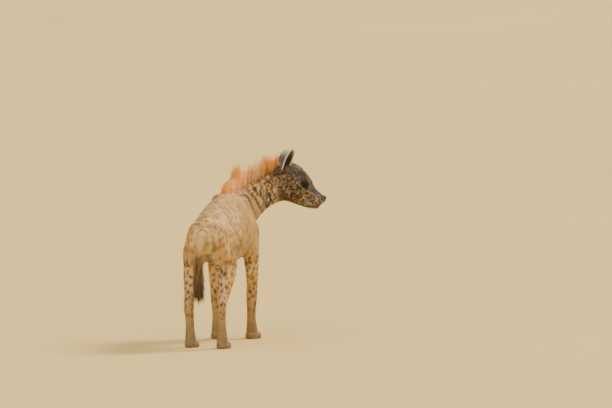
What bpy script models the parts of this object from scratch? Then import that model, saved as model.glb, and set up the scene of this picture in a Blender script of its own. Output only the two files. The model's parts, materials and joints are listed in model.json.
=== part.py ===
"""A life-size spotted hyena on four feet, its back sloping to the rump, its head turned over its right side.

Blender script, in metres: +X is where the trunk faces, +Y its left side, +Z up, and the floor is at z = 0.
The flesh is modelled whole from lofted forms and muscles, fused into one surface, then parted by thin cuts.
"""

import math
import random

import bmesh
import bpy
import numpy as np
from mathutils import Euler, Matrix, Vector
from mathutils.bvhtree import BVHTree

# Driving sizes of the animal, over the tips of its short coat
WITHERS_HEIGHT = 0.80
TRUNK_LENGTH = 0.87
TRUNK_FRONT_X = 0.385
STANCE_HALF_WIDTH = 0.088
HEAD_TURN = math.radians(70)
HEAD_PITCH = math.radians(25)
NOSE_TIP = Vector((0.588, -0.422, 0.727))

# Where the whole animal stands in its own frame, so that the origin is under the middle of its box
FRAME_SHIFT = Vector((-0.022, 0.142, 0.0))

# How finely the flesh is fused and faceted, and the gap left by every cut
MUSCLE_VOXEL = 0.008
MUSCLE_SMOOTHING = 30
FINE_VOXEL = 0.004
FINE_SMOOTHING = 5
FLESH_VOXEL = 0.0048
FLESH_SMOOTHING = 5
EAR_VOXEL = 0.0022
EAR_SMOOTHING = 3
BODY_TRIANGLES = 4000
HEAD_TRIANGLES = 1900
PAW_TRIANGLES = 1200
EAR_TRIANGLES = 460
GAP = 0.0003

PARTS = bpy.data.collections.new("spotted_hyena")
CUTTERS = bpy.data.collections.new("cutters")


def clear_scene():
    for obj in list(bpy.data.objects):
        bpy.data.objects.remove(obj)
    for collection in (PARTS, CUTTERS):
        bpy.context.scene.collection.children.link(collection)


def material(name, colour, roughness):
    """A Principled material from an sRGB colour written 0 to 1."""
    made = bpy.data.materials.new(name)
    made.use_nodes = True
    shader = made.node_tree.nodes["Principled BSDF"]
    linear = [c / 12.92 if c <= 0.04045 else ((c + 0.055) / 1.055) ** 2.4 for c in colour]
    shader.inputs["Base Color"].default_value = (*linear, 1.0)
    shader.inputs["Roughness"].default_value = roughness
    shader.inputs["Metallic"].default_value = 0.0
    return made


def new_object(name, bm, collection=CUTTERS):
    """An object from a bmesh, with its faces pointing out."""
    bmesh.ops.recalc_face_normals(bm, faces=bm.faces)
    mesh = bpy.data.meshes.new(name)
    bm.to_mesh(mesh)
    bm.free()
    obj = bpy.data.objects.new(name, mesh)
    collection.objects.link(obj)
    return obj


def evaluated_bmesh(obj):
    """The object's shape with its modifiers, in world space."""
    bpy.context.view_layer.update()
    graph = bpy.context.evaluated_depsgraph_get()
    shape = obj.evaluated_get(graph)
    mesh = shape.to_mesh()
    bm = bmesh.new()
    bm.from_mesh(mesh)
    bm.transform(obj.matrix_world)
    shape.to_mesh_clear()
    return bm


def applied(obj):
    """The same object with its modifiers applied and its place in its mesh."""
    bm = evaluated_bmesh(obj)
    obj.modifiers.clear()
    obj.matrix_world = Matrix.Identity(4)
    bm.to_mesh(obj.data)
    bm.free()
    return obj


def duplicate(obj, name):
    copy = bpy.data.objects.new(name, obj.data.copy())
    copy.matrix_world = obj.matrix_world.copy()
    CUTTERS.objects.link(copy)
    return copy


# Forms: lofts through egg-shaped sections, and muscles


def between(stations, steps):
    """The stations with others between them, on a smooth curve through every one."""
    rows = np.array(stations, dtype=float)
    padded = np.vstack((2 * rows[0] - rows[1], rows, 2 * rows[-1] - rows[-2]))
    dense = []
    for k in range(len(rows) - 1):
        a, b, c, d = padded[k:k + 4]
        for step in range(steps):
            t = step / steps
            bend = (2 * a - 5 * b + 4 * c - d) * t * t + (3 * b - a - 3 * c + d) * t ** 3
            dense.append((2 * b + (c - a) * t + bend) / 2)
    dense.append(rows[-1])
    return dense


def loft(name, stations, up_hint, sides=20, steps=4):
    """A closed form through stations (x, y, z, half width, rise, drop, pinch).

    Rise and drop are the reach of a section along up and against it, and pinch narrows its upper half.
    """
    rows = between(stations, steps)
    centres = [Vector(row[:3]) for row in rows]
    bm = bmesh.new()
    rings = []
    for k, row in enumerate(rows):
        half_width, rise, drop, pinch = row[3:]
        ahead = centres[min(k + 1, len(centres) - 1)]
        behind = centres[max(k - 1, 0)]
        forward = (ahead - behind).normalized()
        up = Vector(up_hint)
        up = (up - forward * up.dot(forward)).normalized()
        left = up.cross(forward)
        ring = []
        for side in range(sides):
            turn = 2 * math.pi * side / sides
            c, s = math.cos(turn), math.sin(turn)
            across = half_width * c * (1 - pinch * max(s, 0.0))
            ring.append(bm.verts.new(centres[k] + left * across + up * (rise if s > 0 else drop) * s))
        rings.append(ring)
    for a, b in zip(rings, rings[1:]):
        for k in range(sides):
            bm.faces.new((a[k], a[(k + 1) % sides], b[(k + 1) % sides], b[k]))
    bm.faces.new(rings[0])
    bm.faces.new(rings[-1])
    return new_object(name, bm)


def muscle(name, centre, radii, turn=(0, 0, 0), segments=20):
    """An ellipsoid of these radii at centre, turned by degrees about X, Y and Z."""
    bm = bmesh.new()
    bmesh.ops.create_uvsphere(bm, u_segments=segments, v_segments=segments // 2, radius=1.0)
    obj = new_object(name, bm)
    angles = Euler([math.radians(a) for a in turn])
    obj.matrix_world = Matrix.LocRotScale(Vector(centre), angles, Vector(radii))
    return obj


def joined(name, forms):
    """All the forms in one object, which replaces them."""
    whole = bmesh.new()
    for form in forms:
        part = evaluated_bmesh(form)
        mesh = bpy.data.meshes.new("form")
        part.to_mesh(mesh)
        part.free()
        whole.from_mesh(mesh)
        bpy.data.meshes.remove(mesh)
        bpy.data.objects.remove(form)
    mesh = bpy.data.meshes.new(name)
    whole.to_mesh(mesh)
    whole.free()
    obj = bpy.data.objects.new(name, mesh)
    CUTTERS.objects.link(obj)
    return obj


def fused(name, forms, voxel, smoothing):
    """One smooth closed surface round all the forms."""
    obj = joined(name, forms)
    remesh = obj.modifiers.new("fuse", "REMESH")
    remesh.mode = "VOXEL"
    remesh.voxel_size = voxel
    smooth = obj.modifiers.new("smooth", "SMOOTH")
    smooth.factor = 0.5
    smooth.iterations = smoothing
    return applied(obj)


def faceted(obj, triangles):
    """The same surface with about this many triangles."""
    now = sum(len(p.vertices) - 2 for p in obj.data.polygons)
    fewer = obj.modifiers.new("facets", "DECIMATE")
    fewer.ratio = triangles / now
    fewer.use_collapse_triangulate = True
    return applied(obj)


# Cuts


def one_surface(obj, near=None):
    """The largest closed surface of the object, or the one nearest to the point near, in triangles."""
    for merge in (0.00005, 0.00001, 0.000001):
        bm = bmesh.new()
        bm.from_mesh(obj.data)
        bmesh.ops.remove_doubles(bm, verts=bm.verts, dist=merge)
        bmesh.ops.dissolve_degenerate(bm, edges=bm.edges, dist=merge)
        bmesh.ops.triangulate(bm, faces=bm.faces)
        if all(len(edge.link_faces) == 2 for edge in bm.edges):
            break
    unseen = set(bm.verts)
    groups = []
    while unseen:
        stack = [unseen.pop()]
        group = list(stack)
        while stack:
            for edge in stack.pop().link_edges:
                for vert in edge.verts:
                    if vert in unseen:
                        unseen.remove(vert)
                        stack.append(vert)
                        group.append(vert)
        groups.append(group)
    if near is None:
        kept = max(groups, key=len)
    else:
        kept = min(groups, key=lambda group: (group[0].co - near).length)
    others = [v for group in groups if group is not kept for v in group]
    bmesh.ops.delete(bm, geom=others, context="VERTS")
    bmesh.ops.recalc_face_normals(bm, faces=bm.faces)
    bm.to_mesh(obj.data)
    bm.free()
    return obj


def beyond(obj, name, point, normal, near=None):
    """The part of obj on the side of a plane its normal points to, closed with a flat face."""
    bm = bmesh.new()
    bm.from_mesh(obj.data)
    everything = bm.verts[:] + bm.edges[:] + bm.faces[:]
    bmesh.ops.bisect_plane(bm, geom=everything, plane_co=point, plane_no=normal, clear_inner=True)
    rim = [edge for edge in bm.edges if edge.is_boundary]
    bmesh.ops.holes_fill(bm, edges=rim, sides=0)
    return one_surface(new_object(name, bm), near)


def combined(obj, other, operation):
    """obj after a Boolean with other, which stays."""
    step = obj.modifiers.new("combine", "BOOLEAN")
    step.object = other
    step.operation = operation
    step.solver = "EXACT"
    return one_surface(applied(obj))


def with_locks(obj, locks):
    """obj with every lock fused to it in one union."""
    pile = bpy.data.collections.new("locks")
    bpy.context.scene.collection.children.link(pile)
    for lock in locks:
        CUTTERS.objects.unlink(lock)
        pile.objects.link(lock)
    step = obj.modifiers.new("locks", "BOOLEAN")
    step.operand_type = "COLLECTION"
    step.collection = pile
    step.operation = "UNION"
    step.solver = "EXACT"
    applied(obj)
    for lock in list(pile.objects):
        bpy.data.objects.remove(lock)
    bpy.data.collections.remove(pile)
    return one_surface(obj)


# Trunk: (share behind the breast, top, bottom and half width as shares of the withers height, pinch)
TRUNK_STATIONS = {
    "breast": (0.00, 0.800, 0.640, 0.075, 0.0),
    "shoulder_point": (0.07, 0.925, 0.565, 0.128, 0.1),
    "withers": (0.18, 0.995, 0.530, 0.155, 0.38),
    "ribs": (0.34, 0.975, 0.505, 0.172, 0.34),
    "last_rib": (0.52, 0.940, 0.505, 0.178, 0.28),
    "loin": (0.68, 0.905, 0.530, 0.155, 0.26),
    "croup": (0.83, 0.855, 0.565, 0.138, 0.30),
    "rump": (0.94, 0.775, 0.585, 0.108, 0.28),
    "buttock": (1.00, 0.700, 0.610, 0.060, 0.2),
}


def trunk_forms():
    stations = []
    for share, top, bottom, half_width, pinch in TRUNK_STATIONS.values():
        x = TRUNK_FRONT_X - share * TRUNK_LENGTH
        middle = (top + bottom) / 2 * WITHERS_HEIGHT
        half = (top - bottom) / 2 * WITHERS_HEIGHT
        stations.append((x, 0, middle, half_width * WITHERS_HEIGHT, half, half, pinch))
    return [loft("trunk", stations, (0, 0, 1), sides=28)]


# Neck: path from inside the chest, round to the right, into the back of the skull
NECK_STATIONS = {
    "root": (0.150, 0.000, 0.620, 0.115, 0.150, 0.160, 0.35),
    "base": (0.265, 0.000, 0.650, 0.110, 0.146, 0.145, 0.35),
    "lower": (0.355, -0.028, 0.695, 0.097, 0.112, 0.118, 0.30),
    "middle": (0.428, -0.083, 0.742, 0.084, 0.090, 0.096, 0.25),
    "upper": (0.487, -0.157, 0.783, 0.076, 0.084, 0.086, 0.22),
    "poll": (0.530, -0.245, 0.792, 0.066, 0.072, 0.078, 0.22),
}


MANE_CORE_RISE = {
    "root": 0.0,
    "base": 0.022,
    "lower": 0.032,
    "middle": 0.034,
    "upper": 0.032,
    "poll": 0.026,
}
MANE_CORE_HALF_WIDTH = 0.034


def neck_forms():
    """The neck, and a low ridge along its top as the core of the mane."""
    ridge = []
    for name, (x, y, z, _, rise, _, _) in NECK_STATIONS.items():
        ridge.append((x, y, z, MANE_CORE_HALF_WIDTH, rise + MANE_CORE_RISE[name], 0.02, 0.0))
    neck = [loft("neck", list(NECK_STATIONS.values()), (0, 0, 1), sides=24)]
    return neck, [loft("ridge", ridge, (0, 0, 1))]


# Legs, modelled as left ones at y > 0: (x, y, z, half width, reach forward, reach back, 0)
FORELEG_X = 0.262
HINDLEG_X = -0.395
FORE_STEP = {1: -0.020, -1: 0.022}
HIND_STEP = {1: 0.030, -1: -0.012}


def mirrored(stations, side):
    return [(s[0], side * s[1], *s[2:]) for s in stations]


def foreleg_forms(side, step):
    """side is +1 on the left, and step moves the foot forward."""
    foot = FORELEG_X + step
    y = STANCE_HALF_WIDTH
    stations = (
        (0.250, 0.062, 0.620, 0.036, 0.065, 0.070, 0.0),
        (0.255, 0.085, 0.540, 0.046, 0.066, 0.078, 0.0),
        (0.240, 0.095, 0.465, 0.044, 0.055, 0.068, 0.0),
        (0.245 + step * 0.3, 0.097, 0.390, 0.038, 0.046, 0.050, 0.0),
        (foot - 0.008, 0.094, 0.300, 0.031, 0.036, 0.036, 0.0),
        (foot - 0.003, 0.090, 0.215, 0.030, 0.034, 0.031, 0.0),
        (foot, y, 0.140, 0.025, 0.027, 0.026, 0.0),
        (foot + 0.006, y, 0.080, 0.027, 0.029, 0.028, 0.0),
        (foot + 0.016, y, 0.035, 0.032, 0.036, 0.034, 0.0),
    )
    return [
        loft("foreleg", mirrored(stations, side), (1, 0, 0), sides=16),
        muscle("elbow", (0.200, side * 0.096, 0.462), (0.030, 0.024, 0.046), (0, 20, 0)),
        muscle("wrist", (foot, side * 0.090, 0.205), (0.033, 0.030, 0.044)),
    ]


def shoulder_forms(side):
    return [
        muscle("shoulder_blade", (0.225, side * 0.070, 0.640), (0.080, 0.050, 0.130), (0, -24, 0)),
        muscle("upper_arm", (0.268, side * 0.088, 0.545), (0.085, 0.045, 0.090), (0, 28, 0)),
        muscle("breast_muscle", (0.325, side * 0.042, 0.560), (0.060, 0.050, 0.070)),
    ]


def hindleg_forms(side, step):
    foot = HINDLEG_X + step
    y = STANCE_HALF_WIDTH
    stations = (
        (-0.325, 0.052, 0.590, 0.040, 0.090, 0.090, 0.0),
        (-0.305, 0.078, 0.510, 0.052, 0.090, 0.104, 0.0),
        (-0.286, 0.092, 0.425, 0.048, 0.066, 0.082, 0.0),
        (-0.325 + step * 0.3, 0.096, 0.345, 0.038, 0.050, 0.055, 0.0),
        (-0.378 + step * 0.7, 0.092, 0.270, 0.029, 0.035, 0.037, 0.0),
        (foot - 0.022, 0.090, 0.215, 0.028, 0.033, 0.036, 0.0),
        (foot - 0.008, y, 0.145, 0.024, 0.027, 0.027, 0.0),
        (foot + 0.002, y, 0.080, 0.026, 0.028, 0.028, 0.0),
        (foot + 0.012, y, 0.035, 0.031, 0.034, 0.033, 0.0),
    )
    return [
        loft("hindleg", mirrored(stations, side), (1, 0, 0), sides=16),
        muscle("hock", (foot - 0.040, side * 0.090, 0.238), (0.022, 0.019, 0.032), (0, -12, 0)),
        muscle("calf", (-0.350 + step * 0.5, side * 0.094, 0.350), (0.036, 0.032, 0.070), (0, 24, 0)),
    ]


def haunch_forms(side):
    return [
        muscle("thigh", (-0.325, side * 0.062, 0.520), (0.120, 0.053, 0.130), (0, -20, 0)),
        muscle("knee", (-0.250, side * 0.082, 0.440), (0.050, 0.040, 0.064), (0, -30, 0)),
        muscle("buttock", (-0.395, side * 0.046, 0.555), (0.070, 0.048, 0.100)),
    ]


def paw_forms(x, y, scale):
    """Four toes, the middle two ahead, round a broad pad. x and y are the middle of the paw."""
    forms = [muscle("pad", (x - 0.020 * scale, y, 0.020), (0.042 * scale, 0.034 * scale, 0.032))]
    for k in range(4):
        across = (k - 1.5) * 0.0200 * scale
        ahead = 0.026 if k in (1, 2) else 0.012
        place = (x + ahead * scale, y + across, 0.015)
        forms.append(muscle("toe", place, (0.028 * scale, 0.0128 * scale, 0.022), (0, 12, 0)))
    return forms


def paw_places():
    """(name, x, y, scale) of the middle of each paw."""
    for side, word in ((1, "left"), (-1, "right")):
        y = side * STANCE_HALF_WIDTH
        yield "forepaw_" + word, FORELEG_X + FORE_STEP[side] + 0.036, y, 1.0
        yield "hindpaw_" + word, HINDLEG_X + HIND_STEP[side] + 0.032, y, 0.92


TAIL_STATIONS = {
    "root": (-0.455, 0, 0.598, 0.030, 0.032, 0.030, 0.0),
    "dock": (-0.512, 0, 0.572, 0.023, 0.024, 0.024, 0.0),
    "upper": (-0.543, 0, 0.520, 0.018, 0.019, 0.019, 0.0),
    "middle": (-0.554, 0, 0.450, 0.016, 0.017, 0.017, 0.0),
    "brush": (-0.554, 0, 0.385, 0.016, 0.017, 0.017, 0.0),
    "core_tip": (-0.550, 0, 0.330, 0.010, 0.011, 0.011, 0.0),
}


def tail_forms():
    return [loft("tail", list(TAIL_STATIONS.values()), (1, 0, 0), sides=14)]


# Head, modelled in its own frame: x runs back from the nose tip at 0 to the occiput, y left, z up
def head_matrix():
    """From the head's frame to the animal's: turned to the right, then pitched nose down."""
    turned = Matrix.Rotation(-HEAD_TURN, 4, "Z") @ Matrix.Rotation(HEAD_PITCH, 4, "Y")
    return Matrix.Translation(NOSE_TIP) @ turned


# Skull and jaw: (distance behind the nose tip, top, bottom, half width, pinch)
SKULL_STATIONS = {
    "nose_front": (-0.001, 0.003, -0.022, 0.019, 0.0),
    "nose": (0.010, 0.007, -0.034, 0.031, 0.1),
    "canines": (0.030, 0.011, -0.050, 0.044, 0.3),
    "muzzle": (0.062, 0.017, -0.058, 0.050, 0.42),
    "stop": (0.094, 0.031, -0.060, 0.055, 0.42),
    "eyes": (0.118, 0.047, -0.060, 0.062, 0.38),
    "brow": (0.138, 0.062, -0.058, 0.072, 0.34),
    "forehead": (0.187, 0.086, -0.055, 0.083, 0.30),
    "crown": (0.235, 0.093, -0.055, 0.083, 0.28),
    "occiput": (0.275, 0.070, -0.055, 0.068, 0.26),
    "nape": (0.305, 0.040, -0.050, 0.050, 0.2),
}
JAW_STATIONS = {
    "chin_front": (0.013, -0.042, -0.062, 0.013, 0.0),
    "chin": (0.022, -0.036, -0.073, 0.030, 0.0),
    "front": (0.044, -0.034, -0.084, 0.037, 0.0),
    "cheek_teeth": (0.085, -0.032, -0.094, 0.048, 0.0),
    "jaw": (0.130, -0.028, -0.099, 0.050, 0.0),
    "jaw_angle": (0.172, -0.020, -0.103, 0.062, 0.0),
    "throat": (0.210, -0.020, -0.110, 0.062, 0.0),
    "gullet": (0.255, -0.030, -0.112, 0.050, 0.0),
}


def head_loft(name, table):
    stations = []
    for behind, top, bottom, half_width, pinch in table.values():
        half = (top - bottom) / 2
        stations.append((-behind, 0, (top + bottom) / 2, half_width, half, half, pinch))
    return loft(name, stations, (0, 0, 1), sides=24)


def head_forms():
    forms = [
        head_loft("skull", SKULL_STATIONS),
        head_loft("jaw", JAW_STATIONS),
        muscle("nose_pad", (-0.008, 0, -0.007), (0.013, 0.023, 0.015)),
        muscle("crest", (-0.215, 0, 0.062), (0.066, 0.030, 0.034), (0, 4, 0)),
    ]
    for side in (1, -1):
        forms += [
            muscle("lip_pad", (-0.040, side * 0.030, -0.034), (0.036, 0.020, 0.024), (0, 6, side * -12)),
            muscle("masseter", (-0.180, side * 0.050, -0.030), (0.060, 0.034, 0.064), (0, 20, 0)),
            muscle("cheekbone", (-0.168, side * 0.058, 0.002), (0.052, 0.024, 0.026), (0, 0, side * -16)),
            muscle("temple", (-0.198, side * 0.040, 0.042), (0.062, 0.035, 0.040)),
            muscle("brow_ridge", (-0.134, side * 0.042, 0.040), (0.028, 0.016, 0.012), (0, 26, side * -18)),
        ]
    place = head_matrix()
    for form in forms:
        form.matrix_world = place @ form.matrix_world
    return forms


def build_flesh():
    """Large muscles are blended softly, and the head and feet keep their finer shapes."""
    neck, ridge = neck_forms()
    soft = trunk_forms() + neck
    fine = head_forms()
    thin = tail_forms() + ridge
    for side in (1, -1):
        soft += shoulder_forms(side) + haunch_forms(side)
        thin += foreleg_forms(side, FORE_STEP[side]) + hindleg_forms(side, HIND_STEP[side])
    for _, x, y, scale in paw_places():
        fine += paw_forms(x, y, scale)
    body = fused("body", soft, MUSCLE_VOXEL, MUSCLE_SMOOTHING)
    ends = fused("ends", fine, FINE_VOXEL, FINE_SMOOTHING)
    return fused("flesh", [body, ends, *thin], FLESH_VOXEL, FLESH_SMOOTHING)


# Where the flesh is parted: a point and the way the plane faces
HEAD_CUT = (Vector((0.476, -0.147, 0.795)), Vector((0.60, -0.77, 0.21)).normalized())
NECK_CUT = (Vector((0.200, 0.000, 0.800)), Vector((0.786, 0.0, 0.618)).normalized())
PAW_CUT_Z = 0.085
TAIL_CUT_X = -0.494

# Columns that take the legs out of the trunk: x, y, reach along X and Y, top of the straight part, top
FORE_COLUMN = (0.250, 0.190, 0.130, 0.150, 0.440, 0.720)
HIND_COLUMN = (-0.330, 0.190, 0.190, 0.150, 0.400, 0.640)
COLUMN_SIDES = 36


def leg_column(side, sizes, growth):
    """A column on the floor with an elliptic outline and a domed top."""
    x, y, reach_x, reach_y, shoulder, top = sizes
    bm = bmesh.new()
    levels = [(-0.05, 1.0)]
    for step in range(7):
        rise = math.radians(step * 14)
        levels.append((shoulder + (top + growth - shoulder) * math.sin(rise), math.cos(rise)))
    rings = []
    for z, share in levels:
        ring = []
        for k in range(COLUMN_SIDES):
            turn = 2 * math.pi * k / COLUMN_SIDES
            across = (reach_x + growth) * share * math.cos(turn)
            out = (reach_y + growth) * share * math.sin(turn)
            ring.append(bm.verts.new((x + across, side * (y + out), z)))
        rings.append(ring)
    for a, b in zip(rings, rings[1:]):
        for k in range(COLUMN_SIDES):
            bm.faces.new((a[k], a[(k + 1) % COLUMN_SIDES], b[(k + 1) % COLUMN_SIDES], b[k]))
    bm.faces.new(rings[0])
    bm.faces.new(rings[-1])
    bmesh.ops.triangulate(bm, faces=bm.faces)
    return new_object("column", bm)


def box(low, high):
    bm = bmesh.new()
    bmesh.ops.create_cube(bm, size=1.0)
    low, high = Vector(low), Vector(high)
    place = Matrix.LocRotScale((low + high) / 2, None, high - low)
    bmesh.ops.transform(bm, matrix=place, verts=bm.verts)
    return new_object("box", bm)


def split(obj, name, cutter, grown_cutter):
    """(the part of obj outside the grown cutter, the part inside the cutter)."""
    inside = combined(duplicate(obj, name), cutter, "INTERSECT")
    outside = combined(obj, grown_cutter, "DIFFERENCE")
    bpy.data.objects.remove(cutter)
    bpy.data.objects.remove(grown_cutter)
    return outside, inside


def parted(flesh):
    """The flesh as nodes by name, each half a gap short of every cut."""
    nodes = {}
    half = GAP / 2
    point, facing = HEAD_CUT
    head_source = faceted(beyond(flesh, "head_source", point - facing * 0.03, facing), HEAD_TRIANGLES)
    nodes["head"] = beyond(head_source, "head", point + facing * half, facing)

    up = Vector((0, 0, 1))
    for name, x, y, _ in paw_places():
        level = Vector((0, 0, PAW_CUT_Z + 0.03))
        paw_source = beyond(flesh, "paw_source", level, -up, Vector((x, y, 0.05)))
        faceted(paw_source, PAW_TRIANGLES / 4)
        short = beyond(paw_source, "paw_source", Vector((0, 0, PAW_CUT_Z - half)), -up)
        nodes[name] = beyond(short, name, Vector(), up)

    body = faceted(flesh, BODY_TRIANGLES)
    body = beyond(body, "body", Vector((0, 0, PAW_CUT_Z + half)), up)
    point, facing = NECK_CUT
    nodes["neck"] = beyond(body, "neck", point + facing * half, facing)
    trunk = beyond(body, "torso", point - facing * half, -facing)
    for side, word in ((1, "left"), (-1, "right")):
        for name, sizes in (("foreleg_", FORE_COLUMN), ("hindleg_", HIND_COLUMN)):
            cutters = (leg_column(side, sizes, 0), leg_column(side, sizes, GAP))
            trunk, nodes[name + word] = split(trunk, name + word, *cutters)
    cutters = [box((-0.75, -0.06, 0.2), (TAIL_CUT_X - grown, 0.06, 0.70)) for grown in (GAP, 0)]
    nodes["torso"], nodes["tail"] = split(trunk, "tail", *cutters)
    return nodes


# Locks of coarse hair: the mane on neck, withers and crown, and the brush of the tail


def lock(root, out, lie, width, thickness, length, bend):
    """A flat tapered lock from root along out, bent towards lie, wide along lie, its root sunk in."""
    across = out.cross(lie).normalized()
    along = across.cross(out).normalized()
    bm = bmesh.new()
    rings = []
    for share, wide in ((-0.20, 0.9), (0.42, 0.95), (0.78, 0.58)):
        place = root + out * (length * share) + along * (length * bend * max(share, 0.0) ** 2)
        corners = (along * width * wide, across * thickness * wide)
        offsets = (corners[0], corners[1], -corners[0], -corners[1])
        rings.append([bm.verts.new(place + offset / 2) for offset in offsets])
    tip = bm.verts.new(root + out * length + along * (length * bend))
    for a, b in zip(rings, rings[1:]):
        for k in range(4):
            bm.faces.new((a[k], a[(k + 1) % 4], b[(k + 1) % 4], b[k]))
    for k in range(4):
        bm.faces.new((rings[-1][k], rings[-1][(k + 1) % 4], tip))
    bm.faces.new(rings[0])
    bmesh.ops.triangulate(bm, faces=bm.faces)
    return new_object("lock", bm)


MANE_ROW_OFFSETS = (-0.020, -0.007, 0.007, 0.020)
MANE_SHARES = [0.34 + 0.037 * step for step in range(18)]
CREST_SHARES = [0.0, 0.3, 0.6, 0.9]
CREST_LINE = ((-0.325, 0.028), (-0.305, 0.045), (-0.285, 0.061), (-0.262, 0.076))
MANE_HEIGHT = 0.076
MANE_LOCK_WIDTH = 0.040
MANE_LOCK_THICKNESS = 0.011


def mane_locks(surface, path, shares, height, lean):
    """Locks in rows at these shares of a path through sections, as tall as height over their tops."""
    chance = random.Random(7)
    locks = []
    for share in shares:
        place = share * (len(path) - 1)
        k = min(int(place), len(path) - 2)
        here = Vector(path[k][:3]).lerp(Vector(path[k + 1][:3]), place - k)
        rise = path[k][4] + (path[k + 1][4] - path[k][4]) * (place - k)
        ahead = (Vector(path[k + 1][:3]) - Vector(path[k][:3])).normalized()
        up = (Vector((0, 0, 1)) - ahead * ahead.z).normalized()
        left = up.cross(ahead)
        for number, offset in enumerate(MANE_ROW_OFFSETS):
            along = chance.uniform(-0.004, 0.004) + 0.005 * (number % 2)
            start = here + left * (offset + chance.uniform(-0.002, 0.002)) + ahead * along + up * 0.35
            root = surface.ray_cast(start, -up)[0]
            if root is None:
                continue
            tall = height(share) * chance.uniform(0.86, 1.10) * (1 - 9 * abs(offset))
            length = max(tall - (root - here).dot(up) + rise, 0.024)
            tilt = lean(share) + chance.uniform(-0.10, 0.10)
            out = (up + left * (offset * 10 + chance.uniform(-0.06, 0.06)) + ahead * tilt).normalized()
            width = MANE_LOCK_WIDTH * chance.uniform(0.8, 1.1)
            locks.append(lock(root, out, -ahead, width, MANE_LOCK_THICKNESS, length, 0.18))
    return locks


def crest_path():
    """The line of the mane on the crown, as sections with no rise."""
    place = head_matrix()
    return [(*(place @ Vector((x, 0, z))), 0.0, 0.0) for x, z in CREST_LINE]


def tail_locks():
    """The brush: locks round the lower half of the tail, hanging close to it."""
    chance = random.Random(11)
    path = between(list(TAIL_STATIONS.values()), 6)
    locks = []
    for level in range(5):
        row = path[int(13 + level * 3.4)]
        for k in range(5):
            turn = 2 * math.pi * (k + 0.5 * (level % 2)) / 5 + chance.uniform(-0.2, 0.2)
            side = Vector((math.cos(turn), math.sin(turn), 0))
            root = Vector(row[:3]) + side * (row[3] * 0.75)
            out = (side * (0.30 - 0.02 * level) + Vector((0.02, 0, -1))).normalized()
            length = chance.uniform(0.085, 0.115) * (1.0 if level < 3 else 0.9)
            locks.append(lock(root, out, Vector((-side.y, side.x, 0)), 0.024, 0.010, length, 0.10))
    return locks


# Ears, eyes, nose, mouth and claws
EAR_HEIGHT = 0.152
EAR_ROOT = (-0.262, 0.054, 0.008)
EAR_TURN_OUT = 31
EAR_SPLAY = 17
EAR_LEAN_BACK = 6

# Ear sections: (share of its height, half width, depth, half angle of the rolled skin, thickness)
EAR_SECTIONS = (
    (0.00, 0.014, 0.024, 116, 0.0085),
    (0.14, 0.025, 0.032, 104, 0.0080),
    (0.32, 0.0365, 0.032, 94, 0.0070),
    (0.54, 0.0420, 0.027, 85, 0.0060),
    (0.72, 0.0405, 0.022, 77, 0.0052),
    (0.86, 0.0325, 0.015, 70, 0.0048),
    (0.95, 0.0205, 0.009, 62, 0.0045),
    (1.00, 0.0080, 0.004, 56, 0.0042),
)


def ear(side):
    """A rounded cup of skin, rolled to a tube at its root, opening forward and outward."""
    rows = between(EAR_SECTIONS, 3)
    columns = 18
    bm = bmesh.new()
    sheets = {}
    for face in (1, -1):
        sheet = []
        for share, half_width, depth, roll, thickness in rows:
            line = []
            for k in range(columns + 1):
                u = -1 + 2 * k / columns
                angle = math.radians(roll * u)
                widest = math.sin(math.radians(min(roll, 90)))
                flat = 1 - math.cos(math.radians(roll))
                y = half_width * math.sin(angle) / widest
                x = -depth * (math.cos(angle) - math.cos(math.radians(roll))) / flat
                outward = Vector((-math.cos(angle), math.sin(angle), 0)) * (face * thickness / 2)
                line.append(bm.verts.new(Vector((x, y, share * EAR_HEIGHT)) + outward))
            sheet.append(line)
        sheets[face] = sheet
    outer, inner = sheets[1], sheets[-1]
    last = len(rows) - 1
    for r in range(last):
        for k in range(columns):
            bm.faces.new((outer[r][k], outer[r][k + 1], outer[r + 1][k + 1], outer[r + 1][k]))
            bm.faces.new((inner[r][k + 1], inner[r][k], inner[r + 1][k], inner[r + 1][k + 1]))
        for k in (0, columns):
            bm.faces.new((outer[r][k], outer[r + 1][k], inner[r + 1][k], inner[r][k]))
    for r in (0, last):
        for k in range(columns):
            bm.faces.new((outer[r][k], outer[r][k + 1], inner[r][k + 1], inner[r][k]))
    shell = new_object("ear_shell", bm)
    root = muscle("ear_root", (-0.017, side * -0.008, -0.004), (0.024, 0.024, 0.026))
    whole = fused("ear", [shell, root], EAR_VOXEL, EAR_SMOOTHING)
    turns = Matrix.Rotation(math.radians(-side * EAR_SPLAY), 4, "X")
    turns = turns @ Matrix.Rotation(math.radians(-EAR_LEAN_BACK), 4, "Y")
    turns = turns @ Matrix.Rotation(math.radians(side * EAR_TURN_OUT), 4, "Z")
    place = Matrix.Translation((EAR_ROOT[0], side * EAR_ROOT[1], EAR_ROOT[2]))
    whole.matrix_world = head_matrix() @ place @ turns
    return faceted(applied(whole), EAR_TRIANGLES)


def grown(obj, amount):
    """A copy of obj pushed out along its normals."""
    copy = duplicate(obj, "grown")
    push = copy.modifiers.new("push", "DISPLACE")
    push.strength = amount
    push.mid_level = 0.0
    return applied(copy)


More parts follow.
